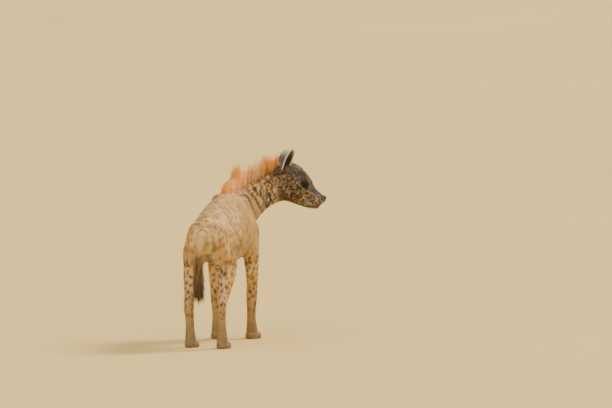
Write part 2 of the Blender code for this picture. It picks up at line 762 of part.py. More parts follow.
def tube(points, radius, sides, closed):
    """A tube through the points, as a closed solid."""
    bm = bmesh.new()
    count = len(points)
    rings = []
    first = None
    for k, point in enumerate(points):
        ahead = points[(k + 1) % count] if closed else points[min(k + 1, count - 1)]
        behind = points[k - 1] if closed else points[max(k - 1, 0)]
        forward = (ahead - behind).normalized()
        first = forward.orthogonal() if first is None else forward.cross(first.cross(forward))
        first.normalize()
        second = forward.cross(first)
        ring = []
        for side in range(sides):
            turn = 2 * math.pi * side / sides
            ring.append(bm.verts.new(point + (first * math.cos(turn) + second * math.sin(turn)) * radius))
        rings.append(ring)
    pairs = list(zip(rings, rings[1:]))
    if closed:
        pairs.append((rings[-1], rings[0]))
    else:
        bm.faces.new(rings[0])
        bm.faces.new(rings[-1])
    for a, b in pairs:
        for k in range(sides):
            bm.faces.new((a[k], a[(k + 1) % sides], b[(k + 1) % sides], b[k]))
    bmesh.ops.triangulate(bm, faces=bm.faces)
    return new_object("tube", bm)


EYE_RADIUS = 0.0135
EYE_STANDS_OUT = 0.0045
EYE_FROM = (-0.177, 0.0, 0.010)
EYE_LOOKS = (0.50, 0.86, 0.06)
EYELID_HALF_LENGTH = 0.0125
EYELID_HALF_HEIGHT = 0.0086
EYELID_THICKNESS = 0.0028


def eye_and_lids(surface, side):
    """The ball's centre and the loop of lid round its opening, in the animal's frame."""
    place = head_matrix()
    turn = place.to_3x3()
    looks = turn @ Vector((EYE_LOOKS[0], side * EYE_LOOKS[1], EYE_LOOKS[2])).normalized()
    start = place @ Vector(EYE_FROM)
    far = surface.ray_cast(start, looks)[0]
    centre = far - looks * (EYE_RADIUS - EYE_STANDS_OUT)
    ahead = turn @ Vector((1, 0, -0.28))
    ahead = (ahead - looks * ahead.dot(looks)).normalized()
    up = looks.cross(ahead) * -side
    up = up if up.z > 0 else -up
    loop = []
    reach = EYE_RADIUS + 0.001
    for k in range(16):
        angle = 2 * math.pi * k / 16
        a = EYELID_HALF_LENGTH * math.cos(angle)
        b = EYELID_HALF_HEIGHT * math.sin(angle)
        loop.append(centre + ahead * a + up * b + looks * math.sqrt(reach * reach - a * a - b * b))
    return centre, tube(loop, EYELID_THICKNESS, 6, True)


def ball(name, centre, radius, segments):
    bm = bmesh.new()
    bmesh.ops.create_uvsphere(bm, u_segments=segments, v_segments=segments // 2, radius=radius)
    bmesh.ops.triangulate(bm, faces=bm.faces)
    bmesh.ops.translate(bm, vec=centre, verts=bm.verts)
    return new_object(name, bm)


MOUTH_GROOVE_RADIUS = 0.0019

# Line of the mouth on one side, from the front to the corner: (x it is seen from, x and y of the way out, z)
MOUTH_LINE = (
    (-0.030, 1.0, 0.28, -0.0400),
    (-0.032, 0.8, 0.70, -0.0430),
    (-0.040, 0.3, 1.00, -0.0490),
    (-0.060, 0.0, 1.00, -0.0550),
    (-0.082, 0.0, 1.00, -0.0560),
    (-0.102, 0.0, 1.00, -0.0520),
    (-0.120, 0.0, 1.00, -0.0430),
)


def mouth_groove(surface):
    place = head_matrix()
    turn = place.to_3x3()
    points = []
    front = surface.ray_cast(place @ Vector((-0.030, 0, -0.039)), turn @ Vector((1, 0, 0)))[0]
    for side in (1, -1):
        line = []
        for x, forward, out, z in MOUTH_LINE:
            way = (turn @ Vector((forward, side * out, 0))).normalized()
            line.append(surface.ray_cast(place @ Vector((x, 0, z)), way)[0])
        points += list(reversed(line)) + [front] if side == 1 else line
    dense = [surface.find_nearest(Vector(p))[0] for p in between([tuple(p) for p in points], 3)]
    return tube(dense, MOUTH_GROOVE_RADIUS, 4, False)


# Claw sections: (distance ahead of its root, height, radius)
CLAW_SECTIONS = ((0.0, 0.0150, 0.0042), (0.009, 0.0135, 0.0034), (0.016, 0.0085, 0.0012))


def claw(x, y, scale):
    """A blunt curved claw at the front of a toe, clear of the floor."""
    bm = bmesh.new()
    rings = []
    for ahead, z, radius in CLAW_SECTIONS:
        point = Vector((x + ahead * scale, y, z))
        ring = []
        for k in range(6):
            turn = 2 * math.pi * k / 6
            around = Vector((0, math.cos(turn) * 0.8, math.sin(turn)))
            ring.append(bm.verts.new(point + around * (radius * scale)))
        rings.append(ring)
    for a, b in zip(rings, rings[1:]):
        for k in range(6):
            bm.faces.new((a[k], a[(k + 1) % 6], b[(k + 1) % 6], b[k]))
    bm.faces.new(rings[0])
    bm.faces.new(rings[-1])
    bmesh.ops.triangulate(bm, faces=bm.faces)
    return new_object("claw", bm)


def paw_claws(x, y, scale):
    claws = []
    for k in range(4):
        ahead = 0.026 if k in (1, 2) else 0.012
        claws.append(claw(x + (ahead + 0.020) * scale, y + (k - 1.5) * 0.0200 * scale, scale))
    return claws


NOSE_PAD_RADII = (0.017, 0.030, 0.0165)
NOSTRIL_RADII = (0.0075, 0.0042, 0.0036)


def dressed_head(head):
    """(head, nose, ears and eyes by name), with lids, sockets, nostrils and the line of the mouth."""
    surface = BVHTree.FromBMesh(evaluated_bmesh(head))
    nodes = {}
    grown_head = grown(head, GAP)
    for side, word in ((1, "left"), (-1, "right")):
        nodes["ear_" + word] = combined(ear(side), grown_head, "DIFFERENCE")
    bpy.data.objects.remove(grown_head)
    groove = mouth_groove(surface)
    eyes = {}
    for side, word in ((1, "left"), (-1, "right")):
        eyes[word], lids = eye_and_lids(surface, side)
        head = combined(head, lids, "UNION")
        bpy.data.objects.remove(lids)
    for word, centre in eyes.items():
        socket = ball("socket", centre, EYE_RADIUS + GAP, 16)
        head = combined(head, socket, "DIFFERENCE")
        bpy.data.objects.remove(socket)
        nodes["eye_" + word] = ball("eye_" + word, centre, EYE_RADIUS, 16)
    head = combined(head, groove, "DIFFERENCE")
    bpy.data.objects.remove(groove)
    pads = []
    for growth in (0, GAP):
        radii = [r + growth for r in NOSE_PAD_RADII]
        pad = muscle("pad", (0.001, 0, -0.008), radii, segments=16)
        pad.matrix_world = head_matrix() @ pad.matrix_world
        pads.append(applied(pad))
    head, nose = split(head, "nose", *pads)
    for side in (1, -1):
        place = (0.004, side * 0.0105, -0.008)
        nostril = muscle("nostril", place, NOSTRIL_RADII, (0, 20, side * 38), 10)
        nostril.matrix_world = head_matrix() @ nostril.matrix_world
        applied(nostril)
        nose = combined(nose, nostril, "DIFFERENCE")
        bpy.data.objects.remove(nostril)
    nodes["head"], nodes["nose"] = head, nose
    return nodes


LEGS = ("foreleg_left", "foreleg_right", "hindleg_left", "hindleg_right")
PAWS = ("forepaw_left", "forepaw_right", "hindpaw_left", "hindpaw_right")

# Material: (colour, roughness, nodes)
MATERIALS = {
    "sandy_coat": ((0.79, 0.64, 0.46), 0.9, ("torso",)),
    "neck_and_mane": ((0.78, 0.55, 0.34), 0.9, ("neck",)),
    "head_coat": ((0.50, 0.42, 0.34), 0.9, ("head",)),
    "ear_skin": ((0.29, 0.27, 0.29), 0.85, ("ear_left", "ear_right")),
    "nose_leather": ((0.15, 0.14, 0.15), 0.45, ("nose",)),
    "eye_glass": ((0.10, 0.07, 0.05), 0.1, ("eye_left", "eye_right")),
    "leg_coat": ((0.66, 0.52, 0.38), 0.9, LEGS),
    "foot_coat": ((0.30, 0.23, 0.18), 0.9, PAWS),
    "tail_coat": ((0.27, 0.20, 0.16), 0.9, ("tail",)),
}


def main():
    clear_scene()
    nodes = parted(build_flesh())
    for name, x, y, scale in paw_places():
        nodes[name] = with_locks(nodes[name], paw_claws(x, y, scale))
    nodes.update(dressed_head(nodes["head"]))
    nodes["tail"] = with_locks(nodes["tail"], tail_locks())
    point, facing = HEAD_CUT
    half = facing * (GAP / 2)
    surface = BVHTree.FromBMesh(evaluated_bmesh(nodes["neck"]))
    path = between(list(NECK_STATIONS.values()), 12)
    lean = lambda share: 0.12 - 0.55 * (1 - share)
    locks = mane_locks(surface, path, MANE_SHARES, lambda share: MANE_HEIGHT, lean)
    nodes["neck"] = beyond(with_locks(nodes["neck"], locks), "neck_cut", point - half, -facing)
    surface = BVHTree.FromBMesh(evaluated_bmesh(nodes["head"]))
    height = lambda share: 0.060 - 0.030 * share
    locks = mane_locks(surface, crest_path(), CREST_SHARES, height, lambda share: -0.35)
    nodes["head"] = beyond(with_locks(nodes["head"], locks), "head_cut", point + half, facing)
    for colour_name, (colour, roughness, names) in MATERIALS.items():
        coat = material(colour_name, colour, roughness)
        for name in names:
            obj = nodes[name]
            CUTTERS.objects.unlink(obj)
            PARTS.objects.link(obj)
            obj.data.transform(Matrix.Translation(FRAME_SHIFT))
            obj.data.materials.clear()
            obj.data.materials.append(coat)
            obj.data.shade_smooth()
            obj.data.set_sharp_from_angle(angle=math.radians(50))
    for obj in list(CUTTERS.objects):
        bpy.data.objects.remove(obj)
    for name, obj in nodes.items():
        obj.name = obj.data.name = name


main()
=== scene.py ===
"""A life-size spotted hyena as a museum shows one: hide, coat, mane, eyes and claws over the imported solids.

Lengths are in metres. The forms are worked out in the animal's own place, before the shift that centres its box.
"""
import json
import math
import random

import bmesh
import bpy
import numpy as np
from mathutils import Euler, Matrix, Vector
from mathutils.bvhtree import BVHTree

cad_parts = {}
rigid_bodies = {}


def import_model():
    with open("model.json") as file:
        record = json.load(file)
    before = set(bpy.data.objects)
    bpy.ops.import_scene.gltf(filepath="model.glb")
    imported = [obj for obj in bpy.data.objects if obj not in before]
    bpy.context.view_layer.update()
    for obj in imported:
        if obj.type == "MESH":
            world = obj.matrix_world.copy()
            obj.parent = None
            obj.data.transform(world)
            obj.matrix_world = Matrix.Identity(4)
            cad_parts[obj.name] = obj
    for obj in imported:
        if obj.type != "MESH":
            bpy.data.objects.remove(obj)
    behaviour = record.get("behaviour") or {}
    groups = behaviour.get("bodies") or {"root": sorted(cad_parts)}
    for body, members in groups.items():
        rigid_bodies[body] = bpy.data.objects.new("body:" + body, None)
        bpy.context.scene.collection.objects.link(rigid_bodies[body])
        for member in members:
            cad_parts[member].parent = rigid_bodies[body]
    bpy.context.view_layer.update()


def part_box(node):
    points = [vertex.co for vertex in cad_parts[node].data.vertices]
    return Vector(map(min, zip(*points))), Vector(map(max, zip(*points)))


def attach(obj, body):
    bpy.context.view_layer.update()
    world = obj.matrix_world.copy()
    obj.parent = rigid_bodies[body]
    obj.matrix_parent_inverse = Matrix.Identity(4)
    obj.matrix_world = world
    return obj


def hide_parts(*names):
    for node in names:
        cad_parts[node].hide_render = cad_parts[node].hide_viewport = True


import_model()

# TRUNK, NECK AND LEGS
# The body that carries the hide: a deep chest, high withers, a back that slopes to a low rump and four long legs.
# Each form is a loft or an ellipsoid at the size of the living animal over its coat, and all are fused into one.
FRAME_SHIFT = Vector((-0.022, 0.142, 0.0))
WITHERS_HEIGHT = 0.80
TRUNK_LENGTH = 0.87
TRUNK_FRONT_X = 0.385
STANCE_HALF_WIDTH = 0.088

# Trunk: (share behind the breast, top, bottom and half width as shares of the withers height, narrowing of the top)
TRUNK_STATIONS = {
    "breast": (0.00, 0.800, 0.640, 0.075, 0.0),
    "shoulder_point": (0.07, 0.925, 0.565, 0.128, 0.1),
    "withers": (0.18, 0.995, 0.530, 0.155, 0.38),
    "ribs": (0.34, 0.975, 0.505, 0.172, 0.34),
    "last_rib": (0.52, 0.940, 0.505, 0.178, 0.28),
    "loin": (0.68, 0.905, 0.530, 0.155, 0.26),
    "croup": (0.83, 0.855, 0.565, 0.138, 0.30),
    "rump": (0.94, 0.775, 0.585, 0.108, 0.28),
    "buttock": (1.00, 0.700, 0.610, 0.060, 0.2),
}

# Neck: (x, y, z, half width, rise, drop, narrowing) from inside the chest to the back of the skull
NECK_STATIONS = {
    "root": (0.150, 0.000, 0.620, 0.115, 0.150, 0.160, 0.35),
    "base": (0.265, 0.000, 0.650, 0.110, 0.146, 0.145, 0.35),
    "lower": (0.355, -0.028, 0.695, 0.097, 0.112, 0.118, 0.30),
    "middle": (0.428, -0.083, 0.742, 0.084, 0.090, 0.096, 0.25),
    "upper": (0.487, -0.157, 0.783, 0.076, 0.084, 0.086, 0.22),
    "poll": (0.530, -0.245, 0.792, 0.066, 0.072, 0.078, 0.22),
}
TAIL_STATIONS = {
    "root": (-0.455, 0, 0.598, 0.030, 0.032, 0.030, 0.0),
    "dock": (-0.512, 0, 0.572, 0.023, 0.024, 0.024, 0.0),
    "upper": (-0.543, 0, 0.520, 0.018, 0.019, 0.019, 0.0),
    "middle": (-0.554, 0, 0.450, 0.016, 0.017, 0.017, 0.0),
    "brush": (-0.554, 0, 0.385, 0.016, 0.017, 0.017, 0.0),
    "core_tip": (-0.550, 0, 0.330, 0.010, 0.011, 0.011, 0.0),
}
FORELEG_X = 0.262
HINDLEG_X = -0.395
FORE_STEP = {1: -0.020, -1: 0.022}
HIND_STEP = {1: 0.030, -1: -0.012}

workshop = bpy.data.collections.new("workshop")
bpy.context.scene.collection.children.link(workshop)


def form_object(name, bm):
    """A form that is fused later and then removed."""
    bmesh.ops.recalc_face_normals(bm, faces=bm.faces)
    mesh = bpy.data.meshes.new(name)
    bm.to_mesh(mesh)
    bm.free()
    obj = bpy.data.objects.new(name, mesh)
    workshop.objects.link(obj)
    return obj


def between(stations, steps):
    """The stations with others between them, on a smooth curve through every one."""
    rows = np.array(stations, dtype=float)
    padded = np.vstack((2 * rows[0] - rows[1], rows, 2 * rows[-1] - rows[-2]))
    dense = []
    for k in range(len(rows) - 1):
        a, b, c, d = padded[k:k + 4]
        for step in range(steps):
            t = step / steps
            bend = (2 * a - 5 * b + 4 * c - d) * t * t + (3 * b - a - 3 * c + d) * t ** 3
            dense.append((2 * b + (c - a) * t + bend) / 2)
    dense.append(rows[-1])
    return dense


def loft(name, stations, up_hint, sides=20, steps=4):
    """A closed form through egg-shaped sections."""
    rows = between(stations, steps)
    centres = [Vector(row[:3]) for row in rows]
    bm = bmesh.new()
    rings = []
    for k, row in enumerate(rows):
        half_width, rise, drop, pinch = row[3:]
        forward = (centres[min(k + 1, len(centres) - 1)] - centres[max(k - 1, 0)]).normalized()
        up = Vector(up_hint)
        up = (up - forward * up.dot(forward)).normalized()
        left = up.cross(forward)
        ring = []
        for side in range(sides):
            turn = 2 * math.pi * side / sides
            c, s = math.cos(turn), math.sin(turn)
            across = half_width * c * (1 - pinch * max(s, 0.0))
            ring.append(bm.verts.new(centres[k] + left * across + up * (rise if s > 0 else drop) * s))
        rings.append(ring)
    for a, b in zip(rings, rings[1:]):
        for k in range(sides):
            bm.faces.new((a[k], a[(k + 1) % sides], b[(k + 1) % sides], b[k]))
    bm.faces.new(rings[0])
    bm.faces.new(rings[-1])
    return form_object(name, bm)


def muscle(name, centre, radii, turn=(0, 0, 0), segments=20):
    """An ellipsoid of these radii at centre, turned by degrees about X, Y and Z."""
    bm = bmesh.new()
    bmesh.ops.create_uvsphere(bm, u_segments=segments, v_segments=segments // 2, radius=1.0)
    obj = form_object(name, bm)
    obj.matrix_world = Matrix.LocRotScale(Vector(centre), Euler([math.radians(a) for a in turn]), Vector(radii))
    return obj


def fused(name, forms, voxel, smoothing):
    """One smooth closed surface round all the forms, which stay."""
    whole = bmesh.new()
    for form in forms:
        mesh = form.data.copy()
        mesh.transform(form.matrix_world)
        whole.from_mesh(mesh)
        bpy.data.meshes.remove(mesh)
    obj = form_object(name, whole)
    remesh = obj.modifiers.new("fuse", "REMESH")
    remesh.mode = "VOXEL"
    remesh.voxel_size = voxel
    smooth = obj.modifiers.new("smooth", "SMOOTH")
    smooth.factor = 0.5
    smooth.iterations = smoothing
    shape = obj.evaluated_get(bpy.context.evaluated_depsgraph_get())
    mesh = bpy.data.meshes.new_from_object(shape)
    obj.modifiers.clear()
    obj.data = mesh
    return obj


def mirrored(stations, side):
    return [(s[0], side * s[1], *s[2:]) for s in stations]


def trunk_and_neck_forms():
    stations = []
    for share, top, bottom, half_width, pinch in TRUNK_STATIONS.values():
        x = TRUNK_FRONT_X - share * TRUNK_LENGTH
        middle = (top + bottom) / 2 * WITHERS_HEIGHT
        half = (top - bottom) / 2 * WITHERS_HEIGHT
        stations.append((x, 0, middle, half_width * WITHERS_HEIGHT, half, half, pinch))
    return [
        loft("trunk", stations, (0, 0, 1), sides=28),
        loft("neck", list(NECK_STATIONS.values()), (0, 0, 1), sides=24),
    ]


def shoulder_and_haunch_forms(side):
    return [
        muscle("shoulder_blade", (0.225, side * 0.070, 0.640), (0.080, 0.050, 0.130), (0, -24, 0)),
        muscle("upper_arm", (0.268, side * 0.088, 0.545), (0.085, 0.045, 0.090), (0, 28, 0)),
        muscle("breast_muscle", (0.325, side * 0.042, 0.560), (0.060, 0.050, 0.070)),
        muscle("thigh", (-0.325, side * 0.062, 0.520), (0.120, 0.053, 0.130), (0, -20, 0)),
        muscle("knee", (-0.250, side * 0.082, 0.440), (0.050, 0.040, 0.064), (0, -30, 0)),
        muscle("buttock", (-0.395, side * 0.046, 0.555), (0.070, 0.048, 0.100)),
    ]


def foreleg_forms(side):
    foot = FORELEG_X + FORE_STEP[side]
    y = STANCE_HALF_WIDTH
    stations = (
        (0.250, 0.062, 0.620, 0.036, 0.065, 0.070, 0.0),
        (0.255, 0.085, 0.540, 0.046, 0.066, 0.078, 0.0),
        (0.240, 0.095, 0.465, 0.044, 0.055, 0.068, 0.0),
        (0.245 + FORE_STEP[side] * 0.3, 0.097, 0.390, 0.038, 0.046, 0.050, 0.0),
        (foot - 0.008, 0.094, 0.300, 0.031, 0.036, 0.036, 0.0),
        (foot - 0.003, 0.090, 0.215, 0.030, 0.034, 0.031, 0.0),
        (foot, y, 0.140, 0.025, 0.027, 0.026, 0.0),
        (foot + 0.006, y, 0.080, 0.027, 0.029, 0.028, 0.0),
        (foot + 0.016, y, 0.035, 0.032, 0.036, 0.034, 0.0),
    )
    return [
        loft("foreleg", mirrored(stations, side), (1, 0, 0), sides=16),
        muscle("elbow", (0.200, side * 0.096, 0.462), (0.030, 0.024, 0.046), (0, 20, 0)),
        muscle("wrist", (foot, side * 0.090, 0.205), (0.033, 0.030, 0.044)),
    ]


def hindleg_forms(side):
    step = HIND_STEP[side]
    foot = HINDLEG_X + step
    y = STANCE_HALF_WIDTH
    stations = (
        (-0.325, 0.052, 0.590, 0.040, 0.090, 0.090, 0.0),
        (-0.305, 0.078, 0.510, 0.052, 0.090, 0.104, 0.0),
        (-0.286, 0.092, 0.425, 0.048, 0.066, 0.082, 0.0),
        (-0.325 + step * 0.3, 0.096, 0.345, 0.038, 0.050, 0.055, 0.0),
        (-0.378 + step * 0.7, 0.092, 0.270, 0.029, 0.035, 0.037, 0.0),
        (foot - 0.022, 0.090, 0.215, 0.028, 0.033, 0.036, 0.0),
        (foot - 0.008, y, 0.145, 0.024, 0.027, 0.027, 0.0),
        (foot + 0.002, y, 0.080, 0.026, 0.028, 0.028, 0.0),
        (foot + 0.012, y, 0.035, 0.031, 0.034, 0.033, 0.0),
    )
    return [
        loft("hindleg", mirrored(stations, side), (1, 0, 0), sides=16),
        muscle("hock", (foot - 0.040, side * 0.090, 0.238), (0.022, 0.019, 0.032), (0, -12, 0)),
        muscle("calf", (-0.350 + step * 0.5, side * 0.094, 0.350), (0.036, 0.032, 0.070), (0, 24, 0)),
    ]


def paw_places():
    """(x, y, scale) of the middle of each paw."""
    for side in (1, -1):
        y = side * STANCE_HALF_WIDTH
        yield FORELEG_X + FORE_STEP[side] + 0.036, y, 1.0
        yield HINDLEG_X + HIND_STEP[side] + 0.032, y, 0.92


def paw_forms(x, y, scale):
    """Four toes, the middle two ahead, round a broad pad."""
    forms = [muscle("pad", (x - 0.020 * scale, y, 0.020), (0.042 * scale, 0.034 * scale, 0.032))]
    for k in range(4):
        across = (k - 1.5) * 0.0200 * scale
        ahead = 0.026 if k in (1, 2) else 0.012
        place = (x + ahead * scale, y + across, 0.015)
        forms.append(muscle("toe", place, (0.028 * scale, 0.0128 * scale, 0.022), (0, 12, 0)))
    return forms


# HEAD
# A long, heavy skull with strong chewing muscles, a blunt muzzle and a closed mouth, turned over the right side.
# It is modelled in its own frame: x runs back from the nose tip at 0 to the occiput, y to its left, z up.
NOSE_TIP = Vector((0.588, -0.422, 0.727))
HEAD_TURN = math.radians(70)
HEAD_PITCH = math.radians(25)
HEAD_CUT = (Vector((0.476, -0.147, 0.795)), Vector((0.60, -0.77, 0.21)).normalized())

# Skull and jaw: (distance behind the nose tip, top, bottom, half width, narrowing of the top)
SKULL_STATIONS = {
    "nose_front": (-0.001, 0.003, -0.022, 0.019, 0.0),
    "nose": (0.010, 0.007, -0.034, 0.031, 0.1),
    "canines": (0.030, 0.011, -0.050, 0.044, 0.3),
    "muzzle": (0.062, 0.017, -0.058, 0.050, 0.42),
    "stop": (0.094, 0.031, -0.060, 0.055, 0.42),
    "eyes": (0.118, 0.047, -0.060, 0.062, 0.38),
    "brow": (0.138, 0.062, -0.058, 0.072, 0.34),
    "forehead": (0.187, 0.086, -0.055, 0.083, 0.30),
    "crown": (0.235, 0.093, -0.055, 0.083, 0.28),
    "occiput": (0.275, 0.070, -0.055, 0.068, 0.26),
    "nape": (0.305, 0.040, -0.050, 0.050, 0.2),
}
JAW_STATIONS = {
    "chin_front": (0.013, -0.042, -0.062, 0.013, 0.0),
    "chin": (0.022, -0.036, -0.073, 0.030, 0.0),
    "front": (0.044, -0.034, -0.084, 0.037, 0.0),
    "cheek_teeth": (0.085, -0.032, -0.094, 0.048, 0.0),
    "jaw": (0.130, -0.028, -0.099, 0.050, 0.0),
    "jaw_angle": (0.172, -0.020, -0.103, 0.062, 0.0),
    "throat": (0.210, -0.020, -0.110, 0.062, 0.0),
    "gullet": (0.255, -0.030, -0.112, 0.050, 0.0),
}

head_place = Matrix.Translation(NOSE_TIP) @ Matrix.Rotation(-HEAD_TURN, 4, "Z") @ Matrix.Rotation(HEAD_PITCH, 4, "Y")
head_turn = head_place.to_3x3()


def head_loft(name, table):
    stations = []
    for behind, top, bottom, half_width, pinch in table.values():
        half = (top - bottom) / 2
        stations.append((-behind, 0, (top + bottom) / 2, half_width, half, half, pinch))
    return loft(name, stations, (0, 0, 1), sides=24)


def head_forms():
    forms = [
        head_loft("skull", SKULL_STATIONS),
        head_loft("jaw", JAW_STATIONS),
        muscle("nose_pad", (-0.008, 0, -0.007), (0.013, 0.023, 0.015)),
        muscle("crest", (-0.215, 0, 0.062), (0.066, 0.030, 0.034), (0, 4, 0)),
    ]
    for side in (1, -1):
        forms += [
            muscle("lip_pad", (-0.040, side * 0.030, -0.034), (0.036, 0.020, 0.024), (0, 6, side * -12)),
            muscle("masseter", (-0.180, side * 0.050, -0.030), (0.060, 0.034, 0.064), (0, 20, 0)),
            muscle("cheekbone", (-0.168, side * 0.058, 0.002), (0.052, 0.024, 0.026), (0, 0, side * -16)),
            muscle("temple", (-0.198, side * 0.040, 0.042), (0.062, 0.035, 0.040)),
            muscle("brow_ridge", (-0.134, side * 0.042, 0.040), (0.028, 0.016, 0.012), (0, 26, side * -18)),
        ]
    for form in forms:
        form.matrix_world = head_place @ form.matrix_world
    return forms


# EARS
# Large rounded cups of thin skin, rolled to a tube at the root, opening forward and a little outward.
EAR_HEIGHT = 0.152
EAR_ROOT = (-0.262, 0.054, 0.008)
EAR_TURN_OUT = 31
EAR_SPLAY = 17
EAR_LEAN_BACK = 6
EAR_COAT = 0.0016

# (share of the height, half width, depth, half angle of the rolled skin, thickness)
EAR_SECTIONS = (
    (0.00, 0.014, 0.024, 116, 0.0085),
    (0.14, 0.025, 0.032, 104, 0.0080),
    (0.32, 0.0365, 0.032, 94, 0.0070),
    (0.54, 0.0420, 0.027, 85, 0.0060),
    (0.72, 0.0405, 0.022, 77, 0.0052),
    (0.86, 0.0325, 0.015, 70, 0.0048),
    (0.95, 0.0205, 0.009, 62, 0.0045),
    (1.00, 0.0080, 0.004, 56, 0.0042),
)


def ear_place(side):
    """From an ear's own frame, z up along it and x out of the cup, to the animal's."""
    turns = Matrix.Rotation(math.radians(-side * EAR_SPLAY), 4, "X")
    turns = turns @ Matrix.Rotation(math.radians(-EAR_LEAN_BACK), 4, "Y")
    turns = turns @ Matrix.Rotation(math.radians(side * EAR_TURN_OUT), 4, "Z")
    return head_place @ Matrix.Translation((EAR_ROOT[0], side * EAR_ROOT[1], EAR_ROOT[2])) @ turns


def ear_point(row, u):
    """A point of the middle of the ear's skin, and the way out of its back, in the ear's own frame."""
    share, half_width, depth, roll, _ = row
    angle = math.radians(roll * u)
    widest = math.sin(math.radians(min(roll, 90)))
    flat = 1 - math.cos(math.radians(roll))
    y = half_width * math.sin(angle) / widest
    x = -depth * (math.cos(angle) - math.cos(math.radians(roll))) / flat
    return Vector((x, y, share * EAR_HEIGHT)), Vector((-math.cos(angle), math.sin(angle), 0))


def ear_form(side, voxel, smoothing):
    rows = between(EAR_SECTIONS, 3)
    columns = 20
    bm = bmesh.new()
    sheets = {}
    for face in (1, -1):
        sheet = []
        for row in rows:
            half_thickness = row[4] / 2 - EAR_COAT
            line = []
            for k in range(columns + 1):
                point, outward = ear_point(row, -1 + 2 * k / columns)
                line.append(bm.verts.new(point + outward * (face * max(half_thickness, 0.0011))))
            sheet.append(line)
        sheets[face] = sheet
    outer, inner = sheets[1], sheets[-1]
    last = len(rows) - 1
    for r in range(last):
        for k in range(columns):
            bm.faces.new((outer[r][k], outer[r][k + 1], outer[r + 1][k + 1], outer[r + 1][k]))
            bm.faces.new((inner[r][k + 1], inner[r][k], inner[r + 1][k], inner[r + 1][k + 1]))
        for k in (0, columns):
            bm.faces.new((outer[r][k], outer[r + 1][k], inner[r + 1][k], inner[r][k]))
    for r in (0, last):
        for k in range(columns):
            bm.faces.new((outer[r][k], outer[r][k + 1], inner[r][k + 1], inner[r][k]))
    shell = form_object("ear_shell", bm)
    root = muscle("ear_root", (-0.017, side * -0.008, -0.004), (0.022, 0.022, 0.024))
    whole = fused("ear", [shell, root], voxel, smoothing)
    whole.data.transform(ear_place(side))
    return whole


# HIDE
# One tanned skin over the whole body, under the coat: where the coat is long it lies deeper below the outline.
# The head, ears and paws are finer shells of the same skin, each tucked under the coat where it meets the rest.
MUSCLE_VOXEL, MUSCLE_SMOOTHING = 0.008, 30
ENDS_VOXEL, ENDS_SMOOTHING = 0.0030, 8
BODY_VOXEL, BODY_SMOOTHING = 0.0060, 3
PAW_VOXEL, PAW_SMOOTHING = 0.0030, 10
HEAD_VOXEL, HEAD_SMOOTHING = 0.0024, 14
EAR_VOXEL, EAR_SMOOTHING = 0.0019, 4
SHELL_OVERLAP = 0.006
SOLE_CLEARANCE, PAW_OVERLAP, PAW_TUCK = 0.0003, 0.012, 0.0024
TAIL_ROOT, TAIL_ROOT_REACH = np.array((-0.470, 0.0, 0.610)), 0.055
PAW_SHELL_TOP = 0.105


def beyond(obj, point, normal):
    """The part of obj on the side of a plane its normal points to, closed."""
    bm = bmesh.new()
    bm.from_mesh(obj.data)
    bm.transform(obj.matrix_world)
    everything = bm.verts[:] + bm.edges[:] + bm.faces[:]
    bmesh.ops.bisect_plane(bm, geom=everything, plane_co=point, plane_no=normal, clear_inner=True)
    bmesh.ops.holes_fill(bm, edges=[edge for edge in bm.edges if edge.is_boundary], sides=0)
    return form_object("part", bm)


def arrays(obj):
    """(points, normals, quads) of a fused form."""
    mesh = obj.data
    points = np.empty(len(mesh.vertices) * 3)
    mesh.vertices.foreach_get("co", points)
    normals = np.empty(len(mesh.vertices) * 3)
    mesh.vertices.foreach_get("normal", normals)
    quads = np.empty(len(mesh.loops), np.int32)
    mesh.loops.foreach_get("vertex_index", quads)
    return points.reshape(-1, 3), normals.reshape(-1, 3), quads.reshape(-1, 4)


def cropped(shell, keep):
    """The shell's faces whose corners are all kept."""
    points, normals, quads = shell
    quads = quads[keep[quads].all(axis=1)]
    used = np.unique(quads)
    number = np.full(len(points), -1)
    number[used] = np.arange(len(used))
    return points[used], normals[used], number[quads]


def from_cut(points, cut):
    """Distance of each point in front of a cut."""
    point, facing = cut
    return (points - np.array(point)) @ np.array(facing)


soft_forms = trunk_and_neck_forms()
end_forms = head_forms()
limb_forms = [loft("tail", list(TAIL_STATIONS.values()), (1, 0, 0), sides=14)]
for side in (1, -1):
    soft_forms += shoulder_and_haunch_forms(side)
    limb_forms += foreleg_forms(side) + hindleg_forms(side)
for x, y, scale in paw_places():
    end_forms += paw_forms(x, y, scale)
soft_body = fused("soft_body", soft_forms, MUSCLE_VOXEL, MUSCLE_SMOOTHING)
ends = fused("ends", end_forms, ENDS_VOXEL, ENDS_SMOOTHING)

body_form = fused("body", [soft_body, ends, *limb_forms], BODY_VOXEL, BODY_SMOOTHING)


def eased(shell, place, reach, rounds):
    """A shell whose points within reach of a place are drawn to the middle of their neighbours, to fill a crease."""
    points, normals, quads = shell
    points = points.copy()
    share = np.clip(1.5 - 1.5 * np.linalg.norm(points - place, axis=1) / reach, 0, 1)[:, None]
    near = quads[(share[quads, 0] > 0).any(axis=1)]
    edges = np.vstack([near[:, (k, (k + 1) % 4)] for k in range(4)])
    edges = np.vstack((edges, edges[:, ::-1]))
    touched = np.unique(edges)
    count = np.bincount(edges[:, 0], minlength=len(points))[touched, None]
    for _ in range(rounds):
        total = np.stack([np.bincount(edges[:, 0], points[edges[:, 1], k], len(points)) for k in range(3)], axis=1)
        points[touched] += (total[touched] / count - points[touched]) * share[touched]
    corners = points[near]
    facing = np.cross(corners[:, 2] - corners[:, 0], corners[:, 3] - corners[:, 1])
    fresh = np.zeros_like(points)
    for k in range(4):
        np.add.at(fresh, near[:, k], facing)
    fresh = fresh / np.maximum(np.linalg.norm(fresh, axis=1, keepdims=True), 1e-12)
    fresh = np.where((fresh * normals).sum(axis=1, keepdims=True) < 0, -fresh, fresh)
    return points, np.where(share > 0, fresh, normals), quads


